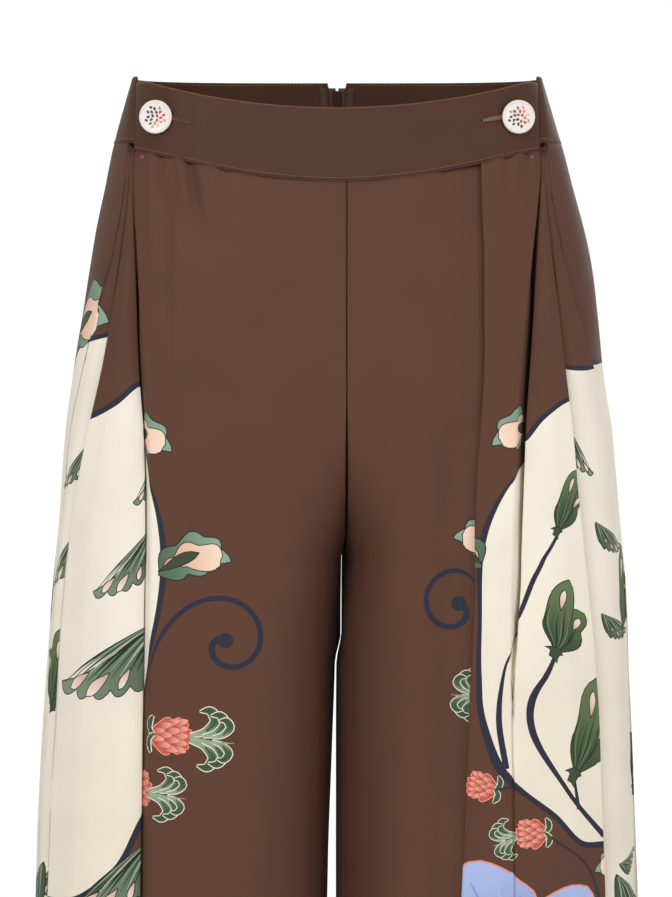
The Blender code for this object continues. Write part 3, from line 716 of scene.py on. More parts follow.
def printedPanel(grid, layers, materials, ground):
    # a leg panel whose mesh is cut along the outlines of its print; each facet has one ink, shaded along it
    rows, columns = grid.q.shape
    index = np.arange(rows * columns).reshape(rows, columns)
    verts = [(float(c), float(r)) for r in range(rows) for c in range(columns)]
    edges = ([(int(a), int(b)) for a, b in zip(index[:, :-1].ravel(), index[:, 1:].ravel())]
             + [(int(a), int(b)) for a, b in zip(index[:-1].ravel(), index[1:].ravel())])
    rings = [[(grid.columnOf(q, level), grid.rowOf(level)) for q, level in layer["outline"]]
             for layer in layers]
    places, triangles, top = inkCut(verts, edges, rings, grid.name)
    middle = places[triangles].mean(axis=1)
    inside = ((middle[:, 0] > 0) & (middle[:, 0] < columns - 1) & (middle[:, 1] > 0)
              & (middle[:, 1] < rows - 1))
    triangles, top = triangles[inside], top[inside]
    c = np.clip(places[:, 0], 0, columns - 1 - 1e-9)
    r = np.clip(places[:, 1], 0, rows - 1 - 1e-9)
    c0, r0 = c.astype(int), r.astype(int)
    fc, fr = (c - c0)[:, None], (r - r0)[:, None]

    def read(values):
        return ((values[r0, c0] * (1 - fc) + values[r0, c0 + 1] * fc) * (1 - fr)
                + (values[r0 + 1, c0] * (1 - fc) + values[r0 + 1, c0 + 1] * fc) * fr)

    points = read(grid.points)
    levels = np.broadcast_to(grid.levels[:, None], grid.q.shape)
    flat = read(np.stack([grid.q, levels], axis=-1))
    colours = np.ones((len(triangles), 3, 4))
    colours[:, :, :3] = ground
    for k in set(top[top >= 0].tolist()):
        layer, mine = layers[k], top == k
        here = flat[triangles[mine]]
        start, end = layer["from"], layer["to"]
        run = (here - start) @ (end - start) / max((end - start) @ (end - start), 1e-9)
        run = smoothStep(run, 0, 1)[:, :, None]
        colours[mine, :, :3] = layer["ink"] * (1 - run) + layer["fade"] * run
    if grid.sign > 0:
        triangles, colours = triangles[:, ::-1], colours[:, ::-1]
    used, remap = np.unique(triangles.ravel(), return_inverse=True)
    triangles = remap.reshape(-1, 3)
    mesh = makeMesh(grid.name, points[used], triangles, flat[used][triangles.ravel()], colours.reshape(-1, 4))
    piece = makePiece(grid.name + "_cloth", mesh, materials)
    thicken(piece, cut["legPly"])
    standsFor(grid.name, grid.q, grid.levels)


ink = {
    "navy": "#2a2b3a", "cream": "#f0e8d8", "creamShade": "#e9dfcc", "outline": "#23241f", "leaf": "#4f6a52",
    "leafLight": "#8ba593", "leafDark": "#3a4b33", "peach": "#f4dac2", "peachDeep": "#e0a283",
    "coral": "#c9584a", "coralLight": "#efa18c", "coralDark": "#a5402f", "acanthus": "#40583f",
    "acanthusLight": "#93a689", "creamLine": "#ece2cc", "feather": "#3f5138", "featherLight": "#7c8e74",
    "featherDark": "#1f281b", "featherPale": "#a3ae96", "eyelet": "#f3dccd", "eyeletDeep": "#d2ab99",
    "pod": "#3b4a32", "podLight": "#64774f", "bluePetal": "#7f93cf", "bluePetalLight": "#aab9e2",
    "blueShade": "#6676b6", "coralLine": "#e58a7c", "stem": "#352d35",
}
ink = {key: linear(code) for key, code in ink.items()}


def smoothLine(points, step=2.0):
    # a curve through points of any number of columns, its slopes set by the lengths on both sides
    points = np.array(points, float)
    apart = np.hypot(*np.diff(points[:, :2], axis=0).T)
    slope = np.diff(points, axis=0) / apart[:, None]
    tangent = np.vstack([slope[0], (slope[:-1] * apart[1:, None] + slope[1:] * apart[:-1, None])
                         / (apart[:-1] + apart[1:])[:, None], slope[-1]])
    line = []
    for k, length in enumerate(apart):
        for t in np.arange(max(2, int(length / step))) / max(2, int(length / step)):
            line.append(points[k] * (1 + 2 * t) * (1 - t)**2 + points[k + 1] * t * t * (3 - 2 * t)
                        + length * (tangent[k] * t * (1 - t)**2 + tangent[k + 1] * t * t * (t - 1)))
    return np.array(line + [points[-1]])


def strokeOutline(line, widths):
    # the outline of a brush stroke whose width changes along it
    line = np.asarray(line, float)
    tangent = np.gradient(line, axis=0)
    length = np.maximum(np.hypot(tangent[:, 0], tangent[:, 1]), 1e-9)
    normal = np.stack([-tangent[:, 1], tangent[:, 0]], axis=-1) / length[:, None]
    half = np.asarray(widths, float)[:, None] / 2
    return np.vstack([line + normal * half, (line - normal * half)[::-1]])


def brush(layers, points, colour, fade=None, step=2.0):
    # points are (q, level, width)
    line = smoothLine(points, step)
    outline = strokeOutline(line[:, :2], np.maximum(line[:, 2], 0.12))
    layers.append({"outline": outline, "ink": ink[colour], "fade": ink[fade or colour],
                   "from": line[0, :2], "to": line[-1, :2]})


def fill(layers, outline, colour, fade=None, start=None, end=None):
    outline = np.asarray(outline, float)
    layers.append({"outline": outline, "ink": ink[colour], "fade": ink[fade or colour],
                   "from": np.asarray(outline[0] if start is None else start, float),
                   "to": np.asarray(outline[len(outline) // 2] if end is None else end, float)})


def ringOf(count):
    angles = np.linspace(0, 2 * math.pi, count, endpoint=False)
    return np.stack([np.cos(angles), np.sin(angles)], axis=-1)


def dot(layers, centre, radius, colour):
    fill(layers, np.asarray(centre) + radius * ringOf(22), colour)


def lobes(junctions, bulges, count=7):
    # a chain of arcs between junctions; each bulges to the left of its direction, most near its outer end
    runs = []
    for first, last, bulge in zip(junctions, junctions[1:], bulges):
        first, last = np.array(first, float), np.array(last, float)
        t = np.linspace(0, 1, count + 1)[:, None]
        left = np.array([-(last - first)[1], (last - first)[0]])
        fuller = 1.45 if last[0] > first[0] else 1 / 1.45
        runs.append(first + (last - first) * t + left * bulge * np.sin(math.pi * t**fuller)**0.85)
    return runs


class Placed:
    # a motif's own axes on the cloth: s runs from its base to its tip, t stands to one side
    def __init__(self, base, tip, hand=1):
        self.base, self.run = np.asarray(base, float), np.asarray(tip, float) - base
        self.side = np.array([-self.run[1], self.run[0]]) * hand
        self.size = float(np.hypot(*self.run))

    def at(self, points):
        points = np.atleast_2d(np.asarray(points, float))
        placed = self.base + points[:, :1] * self.run + points[:, 1:2] * self.side
        return np.hstack([placed, points[:, 2:3] * self.size]) if points.shape[1] == 3 else placed


def outlined(layers, place, junctions, bulges, colour, fade, pen, line="outline"):
    # a lobed shape with a pen line along each of its lobes
    runs = lobes(junctions, bulges)
    fill(layers, place.at(np.vstack([run[:-1] for run in runs])), colour, fade, place.at((0, 0))[0],
         place.at((1, 0))[0])
    for run in runs:
        path = place.at(run)
        layers.append({"outline": strokeOutline(path, np.full(len(path), pen)), "ink": ink[line],
                       "fade": ink[line], "from": path[0], "to": path[-1]})


def lotus(layers, base, tip, hand=-1):
    # a lobed green leaf round peach petals, with a dark leaf in its heart
    place = Placed(base, tip, hand)
    rim = [(0, 0), (0.3, 0.35), (0.7, 0.4), (0.9, 0.2), (1, 0), (0.7, 0), (0.4, -0.05), (0, 0)]
    outlined(layers, place, rim, (0.3, 0.3, 0.3, 0.1, 0, 0.3, 0.2), "leaf", "leafLight", 0.75)
    outlined(layers, place, [(0.2, 0.15), (0.6, 0.3), (0.9, 0.1), (0.4, 0.05), (0.2, 0.15)],
             (0.3, 0.3, 0.3, 0.1), "peachDeep", "peach", 0.6)
    outlined(layers, place, [(0.05, 0.05), (0.25, 0.2), (0.3, 0.1), (0.05, 0.05)], (0.2, 0.2, 0), "peachDeep",
             "peachDeep", 0.6)
    outlined(layers, place, [(0, 0.05), (0.6, 0.2), (0, 0.05)], (0.15, 0.1), "leafDark", "leafDark", 0.6)


def streaks(layers, place, ends, colours, width, bend=0.4):
    # brush strokes that fan from a leaf's base
    for k, end in enumerate(ends):
        middle = (end[0] * 0.5, end[1] * bend)
        brush(layers, place.at([(0.03, end[1] * 0.05, width * 0.5), (*middle, width), (*end, width * 0.25)]),
              colours[k % len(colours)])


def eyelet(layers, place, first, last, fat, pen=0.6):
    spotAt = Placed(place.at(first)[0], place.at(last)[0])
    outlined(layers, spotAt, [(0, 0), (1, 0), (0, 0)], (fat, fat), "eyeletDeep", "eyelet", pen, "featherDark")


def feather(layers, base, tip, hand=1):
    # a spread leaf like a wing: streaks fan from its base to scallops with pale eyelets
    place = Placed(base, tip, hand)
    scallops = [(1 - 0.78 * t, -0.31 * math.sin(1.6 * t ** 0.8)) for t in np.linspace(0, 1, 7)]
    outlined(layers, place, [(0, 0), *scallops, (0, -0.04), (0, 0)], (-0.07, *[0.4] * 6, 0.1, 0), "feather",
             "featherLight", 0.7)
    ends = [(0.97 - 0.75 * t, -0.02 - 0.22 * math.sin(1.5 * t)) for t in np.linspace(0, 1, 14)]
    streaks(layers, place, ends, ("featherDark", "featherLight", "feather", "featherPale", "featherDark"),
            0.017)
    eyelet(layers, place, (0.7, -0.075), (0.93, -0.085), 0.15)
    eyelet(layers, place, (0.56, -0.145), (0.8, -0.2), 0.15)
    eyelet(layers, place, (0.42, -0.18), (0.56, -0.27), 0.15)
    eyelet(layers, place, (0.27, -0.15), (0.34, -0.24), 0.16, 0.5)


def pod(layers, base, tip, hand=1):
    # a pair of folded leaves on a knobbed stem, one eyelet on each
    place = Placed(base, tip, hand)
    dark = ("featherDark", "podLight", "pod", "featherDark", "podLight")
    outlined(layers, place, [(0.02, -0.02), (0.44, -0.24), (0.72, -0.27), (0.36, -0.02), (0.02, -0.02)],
             (-0.2, -0.16, -0.24, 0.1), "pod", "podLight", 0.6, "featherDark")
    streaks(layers, place, [(0.5, -0.2), (0.56, -0.18), (0.6, -0.2)], dark, 0.014, 0.62)
    eyelet(layers, place, (0.42, -0.15), (0.62, -0.22), 0.17, 0.5)
    outlined(layers, place, [(0.0, 0.0), (0.4, 0.15), (1, 0), (0.5, -0.12), (0.0, 0.0)],
             (0.12, 0.12, 0.14, 0.1), "pod", "podLight", 0.65, "featherDark")
    streaks(layers, place, [(0.6, 0.12), (0.72, 0.1), (0.56, 0.06), (0.54, 0.02), (0.5, -0.02), (0.66, -0.04),
                            (0.7, -0.08), (0.5, -0.09)], dark, 0.015, 1.1)
    eyelet(layers, place, (0.58, 0.005), (0.86, 0.01), 0.13)
    knob = [(-0.1, -0.04), (-0.06, 0.06), (0.02, 0.12), (0.08, 0.0), (0.03, -0.08), (-0.1, -0.04)]
    outlined(layers, place, knob, (-0.1, -0.4, 0.1, 0.1, -0.2), "leafDark", "pod", 0.5)


def petal(layers, place, foot, point, width):
    one = Placed(place.at(foot)[0], place.at(point)[0])
    outlined(layers, one, [(0, 0), (0.6, width), (1, 0), (0.6, -width), (0, 0)], (0.14, 0.12, 0.12, 0.14),
             "coralDark", "coralLight", 0.3, "coralDark")


def thistle(layers, base, tip, hand=-1):
    # a flower head of pointed coral petals that overlap from its calyx to its tip
    place = Placed(base, tip, hand)
    rim = [(0, 0.0), (0.16, 0.26), (0.48, 0.44), (0.52, 0.36), (0.76, 0.42), (0.78, 0.3), (0.95, 0.3),
           (0.92, 0.18), (1.04, 0.12), (0.98, 0.02), (1.05, -0.08), (0.95, -0.16), (0.99, -0.28),
           (0.8, -0.3), (0.78, -0.42), (0.56, -0.38), (0.5, -0.48), (0.16, -0.3), (0, 0)]
    bulges = (0.1, 0.14, 0, 0.2, 0, 0.2, 0, 0.2, 0, 0, 0.2, 0, 0.2, 0, 0.2, 0, 0.16, 0.1)
    outlined(layers, place, rim, bulges, "coral", "coral", 0.5, "coralLight")
    for s, count, spread, long in ((0.5, 5, 0.34, 0.46), (0.3, 4, 0.34, 0.46), (0.12, 3, 0.24, 0.44),
                                   (-0.02, 2, 0.1, 0.4)):
        for k in range(count):
            t = spread * (2 * k / (count - 1) - 1)
            petal(layers, place, (s + 0.03 * (k % 2), t * 0.72), (s + long - 0.25 * t * t, t * 1.16), 0.2)
    for turn in (1, -1):
        leaf = [(0.1, 0.0, 0.06), (-0.05, 0.14 * turn, 0.16), (-0.04, 0.3 * turn, 0.17),
                (0.06, 0.46 * turn, 0.02)]
        brush(layers, place.at([(s, t, w + 0.05) for s, t, w in leaf]), "creamLine")
        brush(layers, place.at(leaf), "acanthus", "leafDark")


def bloom(layers, base, tip, hand=1):
    # a large blue flower: broad petals with a coral edge and brushed veins round a coral heart
    first = Placed(base, tip, hand)
    for k, turn in enumerate(np.radians((0, 62, -58, 122, -120, 180))):
        run = first.run * math.cos(turn) + first.side * math.sin(turn)
        place = Placed(first.base, first.base + run * (1 if k == 0 else 0.86), hand)
        outlined(layers, place, [(0.04, 0.0), (0.6, 0.36), (1, 0), (0.62, -0.34), (0.04, 0.0)],
                 (0.1, 0.12, 0.12, 0.1), "blueShade", "bluePetalLight", 1.1, "coralLine")
        streaks(layers, place, [(0.86, 0.05), (0.74, 0.2), (0.8, -0.12), (0.64, -0.24), (0.62, 0.3)],
                ("bluePetal", "blueShade", "bluePetalLight"), 0.035)
    for k in range(8):
        turn = k * math.pi / 4
        brush(layers, first.at([(0, 0, 0.06), (0.16 * math.cos(turn), 0.16 * math.sin(turn), 0.03)]), "coral",
              "coralLight")


def crown(layers, base, tip, hand=-1):
    # pairs of leaves that sprout from a flower head, each curled back at its point
    place = Placed(base, tip, hand)
    shape = [(0, 0.05, 0.05), (0.28, 0.14, 0.13), (0.44, 0.34, 0.19), (0.32, 0.5, 0.14), (0.14, 0.48, 0.01)]
    for start, size in ((0.0, 1.15), (0.25, 1.0), (0.45, 0.8)):
        for turn in (-1, 1):
            leaf = [(start + s * size, t * turn * size, w * size) for s, t, w in shape]
            vein = [(s, t, w * 0.3) for s, t, w in leaf[1:]]
            brush(layers, place.at([(s, t, w + 0.04) for s, t, w in leaf]), "creamLine", step=1.2)
            brush(layers, place.at(leaf), "acanthusLight", "acanthus", step=1.2)
            brush(layers, place.at(vein), "acanthus", "leafDark", step=1.2)
    brush(layers, place.at([(0, 0, 0.09), (0.4, -0.05, 0.06), (0.9, -0.05, 0.01)]), "acanthusLight")


def seen(grid, face, points):
    # turns (x, z, width) as seen from the front into (q, level, width) on the cloth
    return [(*spot(grid, face, p[0], p[1]), *p[2:]) for p in points]


def scroll(eye, start, sweep, coil):
    # a curled tendril: a coil that closes on its eye, with a tail that runs out to its start
    share = np.linspace(0, 1, 19)
    out = np.subtract(start, eye)
    turn = math.atan2(out[1], out[0]) + math.radians(sweep) * share
    reach = coil * (1 - share ** 3) + (math.hypot(*out) - coil) * np.exp(-share / 0.11)
    width = 3.4 - 2.6 * np.exp(-share / 0.06) + 1.4 * share ** 4
    return list(zip(eye[0] + reach * np.cos(turn), eye[1] + reach * np.sin(turn), width))


plants = {"lotus": lotus, "feather": feather, "pod": pod, "thistle": thistle, "crown": crown, "bloom": bloom}
border = {"past": 8, "above": 6, "below": 8, "step": 2.5, "backPast": 6, "backAbove": 4, "backBelow": 12,
          "backWidth": 3.2, "eye": 5.0, "featherGrows": 1.3}


def creamSide(layers, points):
    # a cream field inside a brushed navy edge
    ring = smoothLine([p[:2] for p in points], border["step"])
    fill(layers, ring, "cream", "creamShade", ring[0], ring[-1])
    brush(layers, points, "navy", step=border["step"])


def garden(side):
    # the print of one leg: its cream side with a navy edge, then the plants, front panel and back panel
    grid = {"front": grids["front_" + side], "back": grids["back_" + side]}
    layers = {"front": [], "back": []}
    plan = prints[side]

    def strokes(parts):
        return [p for face, points in parts for p in seen(grid["front"], face, points)]

    pastEnd = float(grid["front"].q[:, -1].max()) + border["past"]
    edge = strokes([("b", plan["edgeTop"]), *plan["edgeFront"], ("b", plan["edgeLow"])])
    creamSide(layers["front"], [(pastEnd, edge[0][1] - border["above"], edge[0][2]), *edge,
                                (pastEnd, edge[-1][1] - border["below"], edge[-1][2])])
    face, eye, start, sweep, coil = plan["scroll"]
    brush(layers["front"], seen(grid["front"], face, scroll(eye, start, sweep, coil)), "navy")
    dot(layers["front"], spot(grid["front"], face, *eye), border["eye"], "navy")
    for parts in plan["strokes"]:
        brush(layers["front"], strokes(parts), "navy")
    edge = seen(grid["back"], "c", plan["backTop"])
    edge = [(-border["backPast"], edge[0][1] + border["backAbove"], border["backWidth"]), *edge,
            *[(edge[-1][0] + dq, edge[-1][1] + dz, width) for dq, dz, width in plan["backFall"]]]
    edge.append((-border["backPast"], edge[-1][1] - border["backBelow"], border["backWidth"]))
    creamSide(layers["back"], edge)
    for panel, kind, faceTip, tip, faceBase, base in plan["motifs"]:
        tipAt = spot(grid[panel], faceTip, *tip) if faceTip else np.array(tip, float)
        baseAt = spot(grid[panel], faceBase, *base) if faceBase else tipAt + np.array(base, float)
        if kind == "feather" and faceBase:
            baseAt = tipAt + (baseAt - tipAt) * border["featherGrows"]
        # the plants that are placed freely on the back are all right-handed
        plants[kind](layers[panel], baseAt, tipAt, *(() if faceTip else (1,)))
    for part in plan["stems"]:
        brush(layers["front"], strokes([part]), "stem")
    return {panel + "_" + side: layers[panel] for panel in layers}


# Where the print lies, as seen from the front (x, z and a width), or in cloth coordinates where no face is
# named: a base with no face is measured from its tip (q towards the side, level up)
prints = {
    "right": {
        "edgeTop": [(-166, -226, 3.6), (-149, -217, 3.8), (-131, -204, 3.4)],
        "edgeFront": [("front", [(-128, -268, 1.6), (-117, -312, 4.3), (-129, -390, 2.6)])],
        "edgeLow": [(-132, -501, 4.2), (-148, -530, 3.8), (-171, -549, 3.0)],
        "scroll": ("front", (-75, -377), (-128, -402), -425, 26),
        "strokes": [],
        "backTop": [(-157, -172, 3.2), (-174, -183, 3.2)],
        "backFall": [(14, -12, 3.2), (72, -66, 3.6), (92, -160, 4.2), (66, -290, 4.2), (12, -440, 3.2)],
        "motifs": [
            ("front", "lotus", "front", (-71, -324), "front", (-120, -333)),
            ("front", "lotus", "front", (-111, -250), None, (46, 6)),
            ("front", "thistle", "front", (-99, -442), "front", (-126, -440)),
            ("front", "crown", "front", (-66, -445), "front", (-99, -443)),
            ("front", "thistle", "front", (-126, -478), None, (26, 1)),
            ("front", "crown", "front", (-99, -483), "front", (-127, -480)),
            ("front", "feather", "b", (-137, -284), None, (-17, 34)),
            ("front", "feather", "b", (-164, -344), "b", (-131, -308)),
            ("front", "feather", "b", (-185, -404), "b", (-131, -369)),
            ("front", "feather", "b", (-180, -556), "b", (-133, -517)),
            ("front", "pod", "b", (-150, -640), None, (-6, -56)),
            ("front", "feather", "b", (-172, -760), None, (-60, 46)),
            ("front", "lotus", "front", (-62, -640), "front", (-108, -652)),
            ("front", "thistle", "front", (-80, -742), "front", (-106, -744)),
            ("front", "crown", "front", (-48, -746), "front", (-79, -743)),
            ("back", "lotus", "c", (-152, -163), "c", (-176, -182)),
            ("back", "feather", "c", (-183, -272), None, (-26, 30)),
            ("back", "feather", "c", (-190, -337), None, (-30, 40)),
            ("back", "pod", "c", (-186, -369), "c", (-192, -421)),
            ("back", "feather", "c", (-202, -548), None, (-30, 30)),
            ("back", "lotus", None, (150, -340), None, (-46, -8)),
            ("back", "thistle", None, (162, -470), None, (-26, 0)),
            ("back", "crown", None, (194, -474), None, (-31, 3)),
            ("back", "pod", None, (62, -300), None, (-14, -56)),
            ("back", "pod", None, (74, -410), None, (-10, -54)),
            ("back", "feather", None, (96, -560), None, (-70, 40)),
        ],
        "stems": [],
    },
    "left": {
        "edgeTop": [(156, -214, 2.9), (138, -227, 3.2), (122, -241, 3.2)],
        "edgeFront": [("flap", [(118, -269, 1.8), (101, -299, 4.0), (96, -365, 2.8), (99, -435, 4.8),
                                (113, -468, 6.0)]),
                      ("b", [(122, -477, 4.0), (147, -496, 3.6), (167, -515, 3.8)])],
        "edgeLow": [(180, -515, 4.4)],
        "scroll": ("inside", (82, -352), (92, -337), 290, 24),
        "strokes": [
            [("b", [(148, -306, 2.2), (134, -332, 3.0), (120, -358, 2.4)]),
             ("flap", [(116, -388, 1.6), (109, -428, 4.0), (114, -464, 4.4)])],
            [("b", [(146, -389, 2.4), (130, -428, 5.0), (155, -478, 3.0), (181, -509, 4.0)])],
            [("b", [(160, -471, 2.0), (163, -491, 3.2)])],
        ],
        "backTop": [(154, -193, 3.0), (172, -190, 3.0), (180, -192, 3.0)],
        "backFall": [(14, -8, 3.2), (70, -70, 3.6), (90, -170, 4.2), (64, -300, 4.2), (12, -436, 3.2)],
        "motifs": [
            ("front", "lotus", "flap", (104, -246), None, (46, 6)),
            ("front", "lotus", "inside", (78, -308), "flap", (97, -328)),
            ("front", "crown", "inside", (74, -412), None, (27, -2)),
            ("front", "thistle", "flap", (86, -473), "flap", (108, -478)),
            ("front", "thistle", "b", (121, -508), "b", (142, -507)),
            ("front", "crown", "flap", (102, -516), "b", (120, -509)),
            ("front", "pod", "b", (160, -261), "b", (148, -304)),
            ("front", "pod", "b", (156, -336), "b", (147, -386)),
            ("front", "pod", "b", (174, -402), "b", (160, -469)),
            ("front", "lotus", "b", (174, -534), None, (38, -6)),
            ("front", "bloom", "flap", (89, -527), None, (38, -86)),
            ("front", "thistle", "inside", (58, -640), "inside", (84, -642)),
            ("front", "crown", "inside", (26, -644), "inside", (57, -641)),
            ("front", "lotus", "flap", (96, -700), None, (46, -8)),
            ("back", "feather", "c", (172, -264), None, (-19, 32)),
            ("back", "feather", "c", (190, -312), None, (-36, 17)),
            ("back", "feather", "c", (194, -368), None, (-36, 12)),
            ("back", "feather", "c", (200, -516), None, (-30, -8)),
            ("back", "lotus", None, (150, -352), None, (-46, -8)),
            ("back", "thistle", None, (160, -480), None, (-26, 0)),
            ("back", "crown", None, (192, -484), None, (-31, 3)),
            ("back", "pod", None, (66, -310), None, (-14, -56)),
            ("back", "pod", None, (76, -420), None, (-10, -54)),
            ("back", "feather", None, (98, -566), None, (-70, 40)),
        ],
        "stems": [("flap", [(107, -478, 1.4), (118, -476, 2.0)]),
                  ("b", [(144, -510, 1.6), (169, -530, 1.8), (180, -570, 2.0)])],
    },
}


printed = clothMaterial("printed crepe")
wrongSide = clothMaterial("printed crepe, wrong side", brightness=0.72, roughness=0.75, sheen=0.04)
bandCloth = clothMaterial("dyed crepe, waistband", roughness=0.55)
for side in ("right", "left"):
    for name, layers in garden(side).items():
        printedPanel(grids[name], layers, [printed, wrongSide], dye["brown"])

# The waistband's rows of points, how far each is set in, its finish at the ends and along the front, and its
# painted highlight (lit) and painted shade (shaded)
bandRows = np.array([0, -0.25, -0.8, -2, -5, -10, -15, -20, -25, -30, -35, -40, -44, -46.4, -47.4, -48.1,
                     -48.7, -49.3, -49.7])
bandInset = np.array([0.75, 0.25, 0.03, 0, 0, 0, 0, 0, 0, 0, 0, 0, 0, 0.1, 0.12, -0.35, -0.42, 0.0, 0.5])
band = {"flapColumns": 74, "flapEdge": (0.15, 0.7), "backEdge": (0.2, 0.9), "pucker": 0.25, "swell": 0.5,
        "backSwell": 0.35, "backColumns": (8, 60), "lap": (-8, -4, -2, -1, 0, 1, 2, 3.5, 5, 7, 9),
        "zipGap": (5.0, 1.4, 7.0), "lit": 2.6, "shaded": 0.8}


def bandSheet(rows):
    # the rows of a band, with the length along each of them
    return np.array(rows), np.array([runOf(row[:, :2]) for row in rows])


def frontBand():
    rows = []
    for level, inset in zip(bandRows, bandInset):
        halves = []
        for side in ("right", "left"):
            section = baseSection(side, float(level))
            at = evenPlaces(section, 0.02, placeOfX(section, cut["flapEnd"]), band["flapColumns"])
            edge = np.zeros(len(at))
            edge[-2:] = band["flapEdge"]
            x = walk(section, at)[:, 0]
            pucker = (band["pucker"] * np.sin(x / 5.1 + level / 17) * np.sin(x / 13.0)
                      * smoothStep(-level, 20, 45))
            swell = band["swell"] * np.sin(x / 27.0 + 1.0) * np.sin(-level / 50 * math.pi)
            path = walk(section, at, inset + edge - pucker - swell)
            height = level + flapDrop(x, level)
            halves.append(np.stack([signs[side] * path[:, 0], path[:, 1], height], axis=-1))
        rows.append(np.concatenate([halves[0][::-1], halves[1]]))
    return bandSheet(rows)


flapPoints, flapArcs = frontBand()
# painted highlight and painted shade: the band's top edge is coloured lighter where it would catch the light,
# and the ditch beside its stitches is coloured darker where shade would fall
bandShades = np.tile(dye["band"], (len(bandRows) - 1, 1))
bandShades[1] *= band["lit"]
bandShades[14:16] *= band["shaded"]
piece = quadSheet("waistband_front_cloth", flapPoints, flapArcs, bandRows, True, [bandCloth],
                  bandShades, cut["bandPly"])
standsFor("waistband_front", flapArcs, bandRows)


def backBand(side):
    rows = []
    for level, inset in zip(bandRows, bandInset):
        section = baseSection(side, float(level))
        under = cut["cadBandPly"] + cut["lapGap"]
        gap, flare, flareDepth = band["zipGap"]
        end = placeOfX(section, gap + flare * (1 - smoothStep(-level, 0, flareDepth)), back=True)
        start = placeOfX(section, cut["underlap"])
        flapEnd = placeOfX(section, cut["flapEnd"])
        speed = speedAt(section, flapEnd)
        places = [flapEnd + reach / speed for reach in band["lap"]]
        few, many = band["backColumns"]
        at = np.concatenate([evenPlaces(section, start, places[0], few)[:-1], places,
                             evenPlaces(section, places[-1], end, many)[1:]])
        x = walk(section, at)[:, 0]
        pastFlap = (at - flapEnd) * speed
        cover = 1 - smoothStep(pastFlap, 0.5, 9.0)
        edge = np.zeros(len(at))
        edge[-2:] = band["backEdge"]
        swell = (band["backSwell"] * np.sin(x / 23.0 + 0.6) * np.sin(-level / 50 * math.pi) * (1 - cover))
        path = walk(section, at, under * cover + inset * (1 - cover) + edge - swell)
        rows.append(np.stack([signs[side] * path[:, 0], path[:, 1], level + backRise(x, pastFlap, level)],
                             axis=-1))
    return bandSheet(rows)


backBands = {}
for side in ("right", "left"):
    backBands[side], arcs = backBand(side)
    piece = quadSheet("waistband_back_" + side + "_cloth", backBands[side], arcs, bandRows, side == "left",
                      [bandCloth], bandShades, cut["bandPly"])
    standsFor("waistband_back_" + side, arcs, bandRows)
print("waistband made")


def rowTree(name):
    # a node tree that lays one small bead of thread, or one tooth, after another along every line of a mesh
    tree = bpy.data.node_groups.new(name, "GeometryNodeTree")
    kinds = {"Lines": "Geometry", "Pitch": "Float", "Size": "Vector", "Wander": "Float", "Seed": "Int",
             "Finish": "Material"}
    keys = {}
    for label, kind in kinds.items():
        socket = tree.interface.new_socket(label, in_out="INPUT", socket_type="NodeSocket" + kind)
        keys[label] = socket.identifier
    tree.interface.new_socket("Row", in_out="OUTPUT", socket_type="NodeSocketGeometry")

    def node(kind, settings=None, sockets=None):
        item = tree.nodes.new(kind)
        for key, value in (settings or {}).items():
            setattr(item, key, value)
        for key, value in (sockets or {}).items():
            if isinstance(value, bpy.types.NodeSocket):
                tree.links.new(value, item.inputs[key])
            else:
                item.inputs[key].default_value = value
        return item

    given = node("NodeGroupInput").outputs
    curve = node("GeometryNodeMeshToCurve", {}, {"Mesh": given["Lines"]})
    spaced = node("GeometryNodeResampleCurve", {"mode": "LENGTH"}, {"Curve": curve.outputs[0],
                                                                   "Length": given["Pitch"]})
    heading = node("FunctionNodeAlignRotationToVector", {"axis": "X"},
                   {"Vector": node("GeometryNodeInputTangent").outputs[0]})
    lean = node("FunctionNodeRandomValue", {"data_type": "FLOAT"}, {"Seed": given["Seed"]})
    lean.inputs[2].default_value, lean.inputs[3].default_value = -1.0, 1.0
    tilt = node("ShaderNodeMath", {"operation": "MULTIPLY"}, {0: lean.outputs[1], 1: given["Wander"]})
    turn = node("ShaderNodeCombineXYZ", {}, {"Y": tilt.outputs[0]})
    turned = node("FunctionNodeRotateRotation", {"rotation_space": "LOCAL"},
                  {"Rotation": heading.outputs[0], "Rotate By": turn.outputs[0]})
    bead = node("GeometryNodeMeshUVSphere", {}, {"Segments": 6, "Rings": 4, "Radius": 0.5})
    row = node("GeometryNodeInstanceOnPoints", {}, {"Points": spaced.outputs[0], "Instance": bead.outputs[0],
                                                    "Rotation": turned.outputs[0], "Scale": given["Size"]})
    real = node("GeometryNodeRealizeInstances", {}, {"Geometry": row.outputs[0]})
    finished = node("GeometryNodeSetMaterial", {}, {"Geometry": real.outputs[0], "Material": given["Finish"]})
    node("NodeGroupOutput", {}, {0: finished.outputs[0]})
    return tree, keys


rows, rowKeys = rowTree("thread row")


def layRow(name, lines, finish, pitch, size, wander=0.06, seed=3):
    # lines of thread, or of teeth, as one plain mesh
    mesh = bpy.data.meshes.new(name)
    starts = np.cumsum([0] + [len(line) for line in lines])
    edges = [(int(start) + k, int(start) + k + 1) for start, line in zip(starts, lines)
             for k in range(len(line) - 1)]
    mesh.from_pydata([tuple(p) for p in np.vstack(lines) * mm], edges, [])
    maker = bpy.data.objects.new(name + "_maker", mesh)
    bpy.context.collection.objects.link(maker)
    modifier = maker.modifiers.new("row", "NODES")
    modifier.node_group = rows
    for label, value in {"Pitch": pitch * mm, "Size": tuple(part * mm for part in size), "Wander": wander,
                         "Seed": seed, "Finish": finish}.items():
        modifier[rowKeys[label]] = value
    plain = bpy.data.meshes.new_from_object(maker.evaluated_get(bpy.context.evaluated_depsgraph_get()))
    bpy.data.objects.remove(maker)
    plain.name = name
    plain.shade_smooth()
    piece = bpy.data.objects.new(name, plain)
    bpy.context.collection.objects.link(piece)
    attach(piece, "garment")
    print(name, len(plain.polygons), "facets")
    return piece


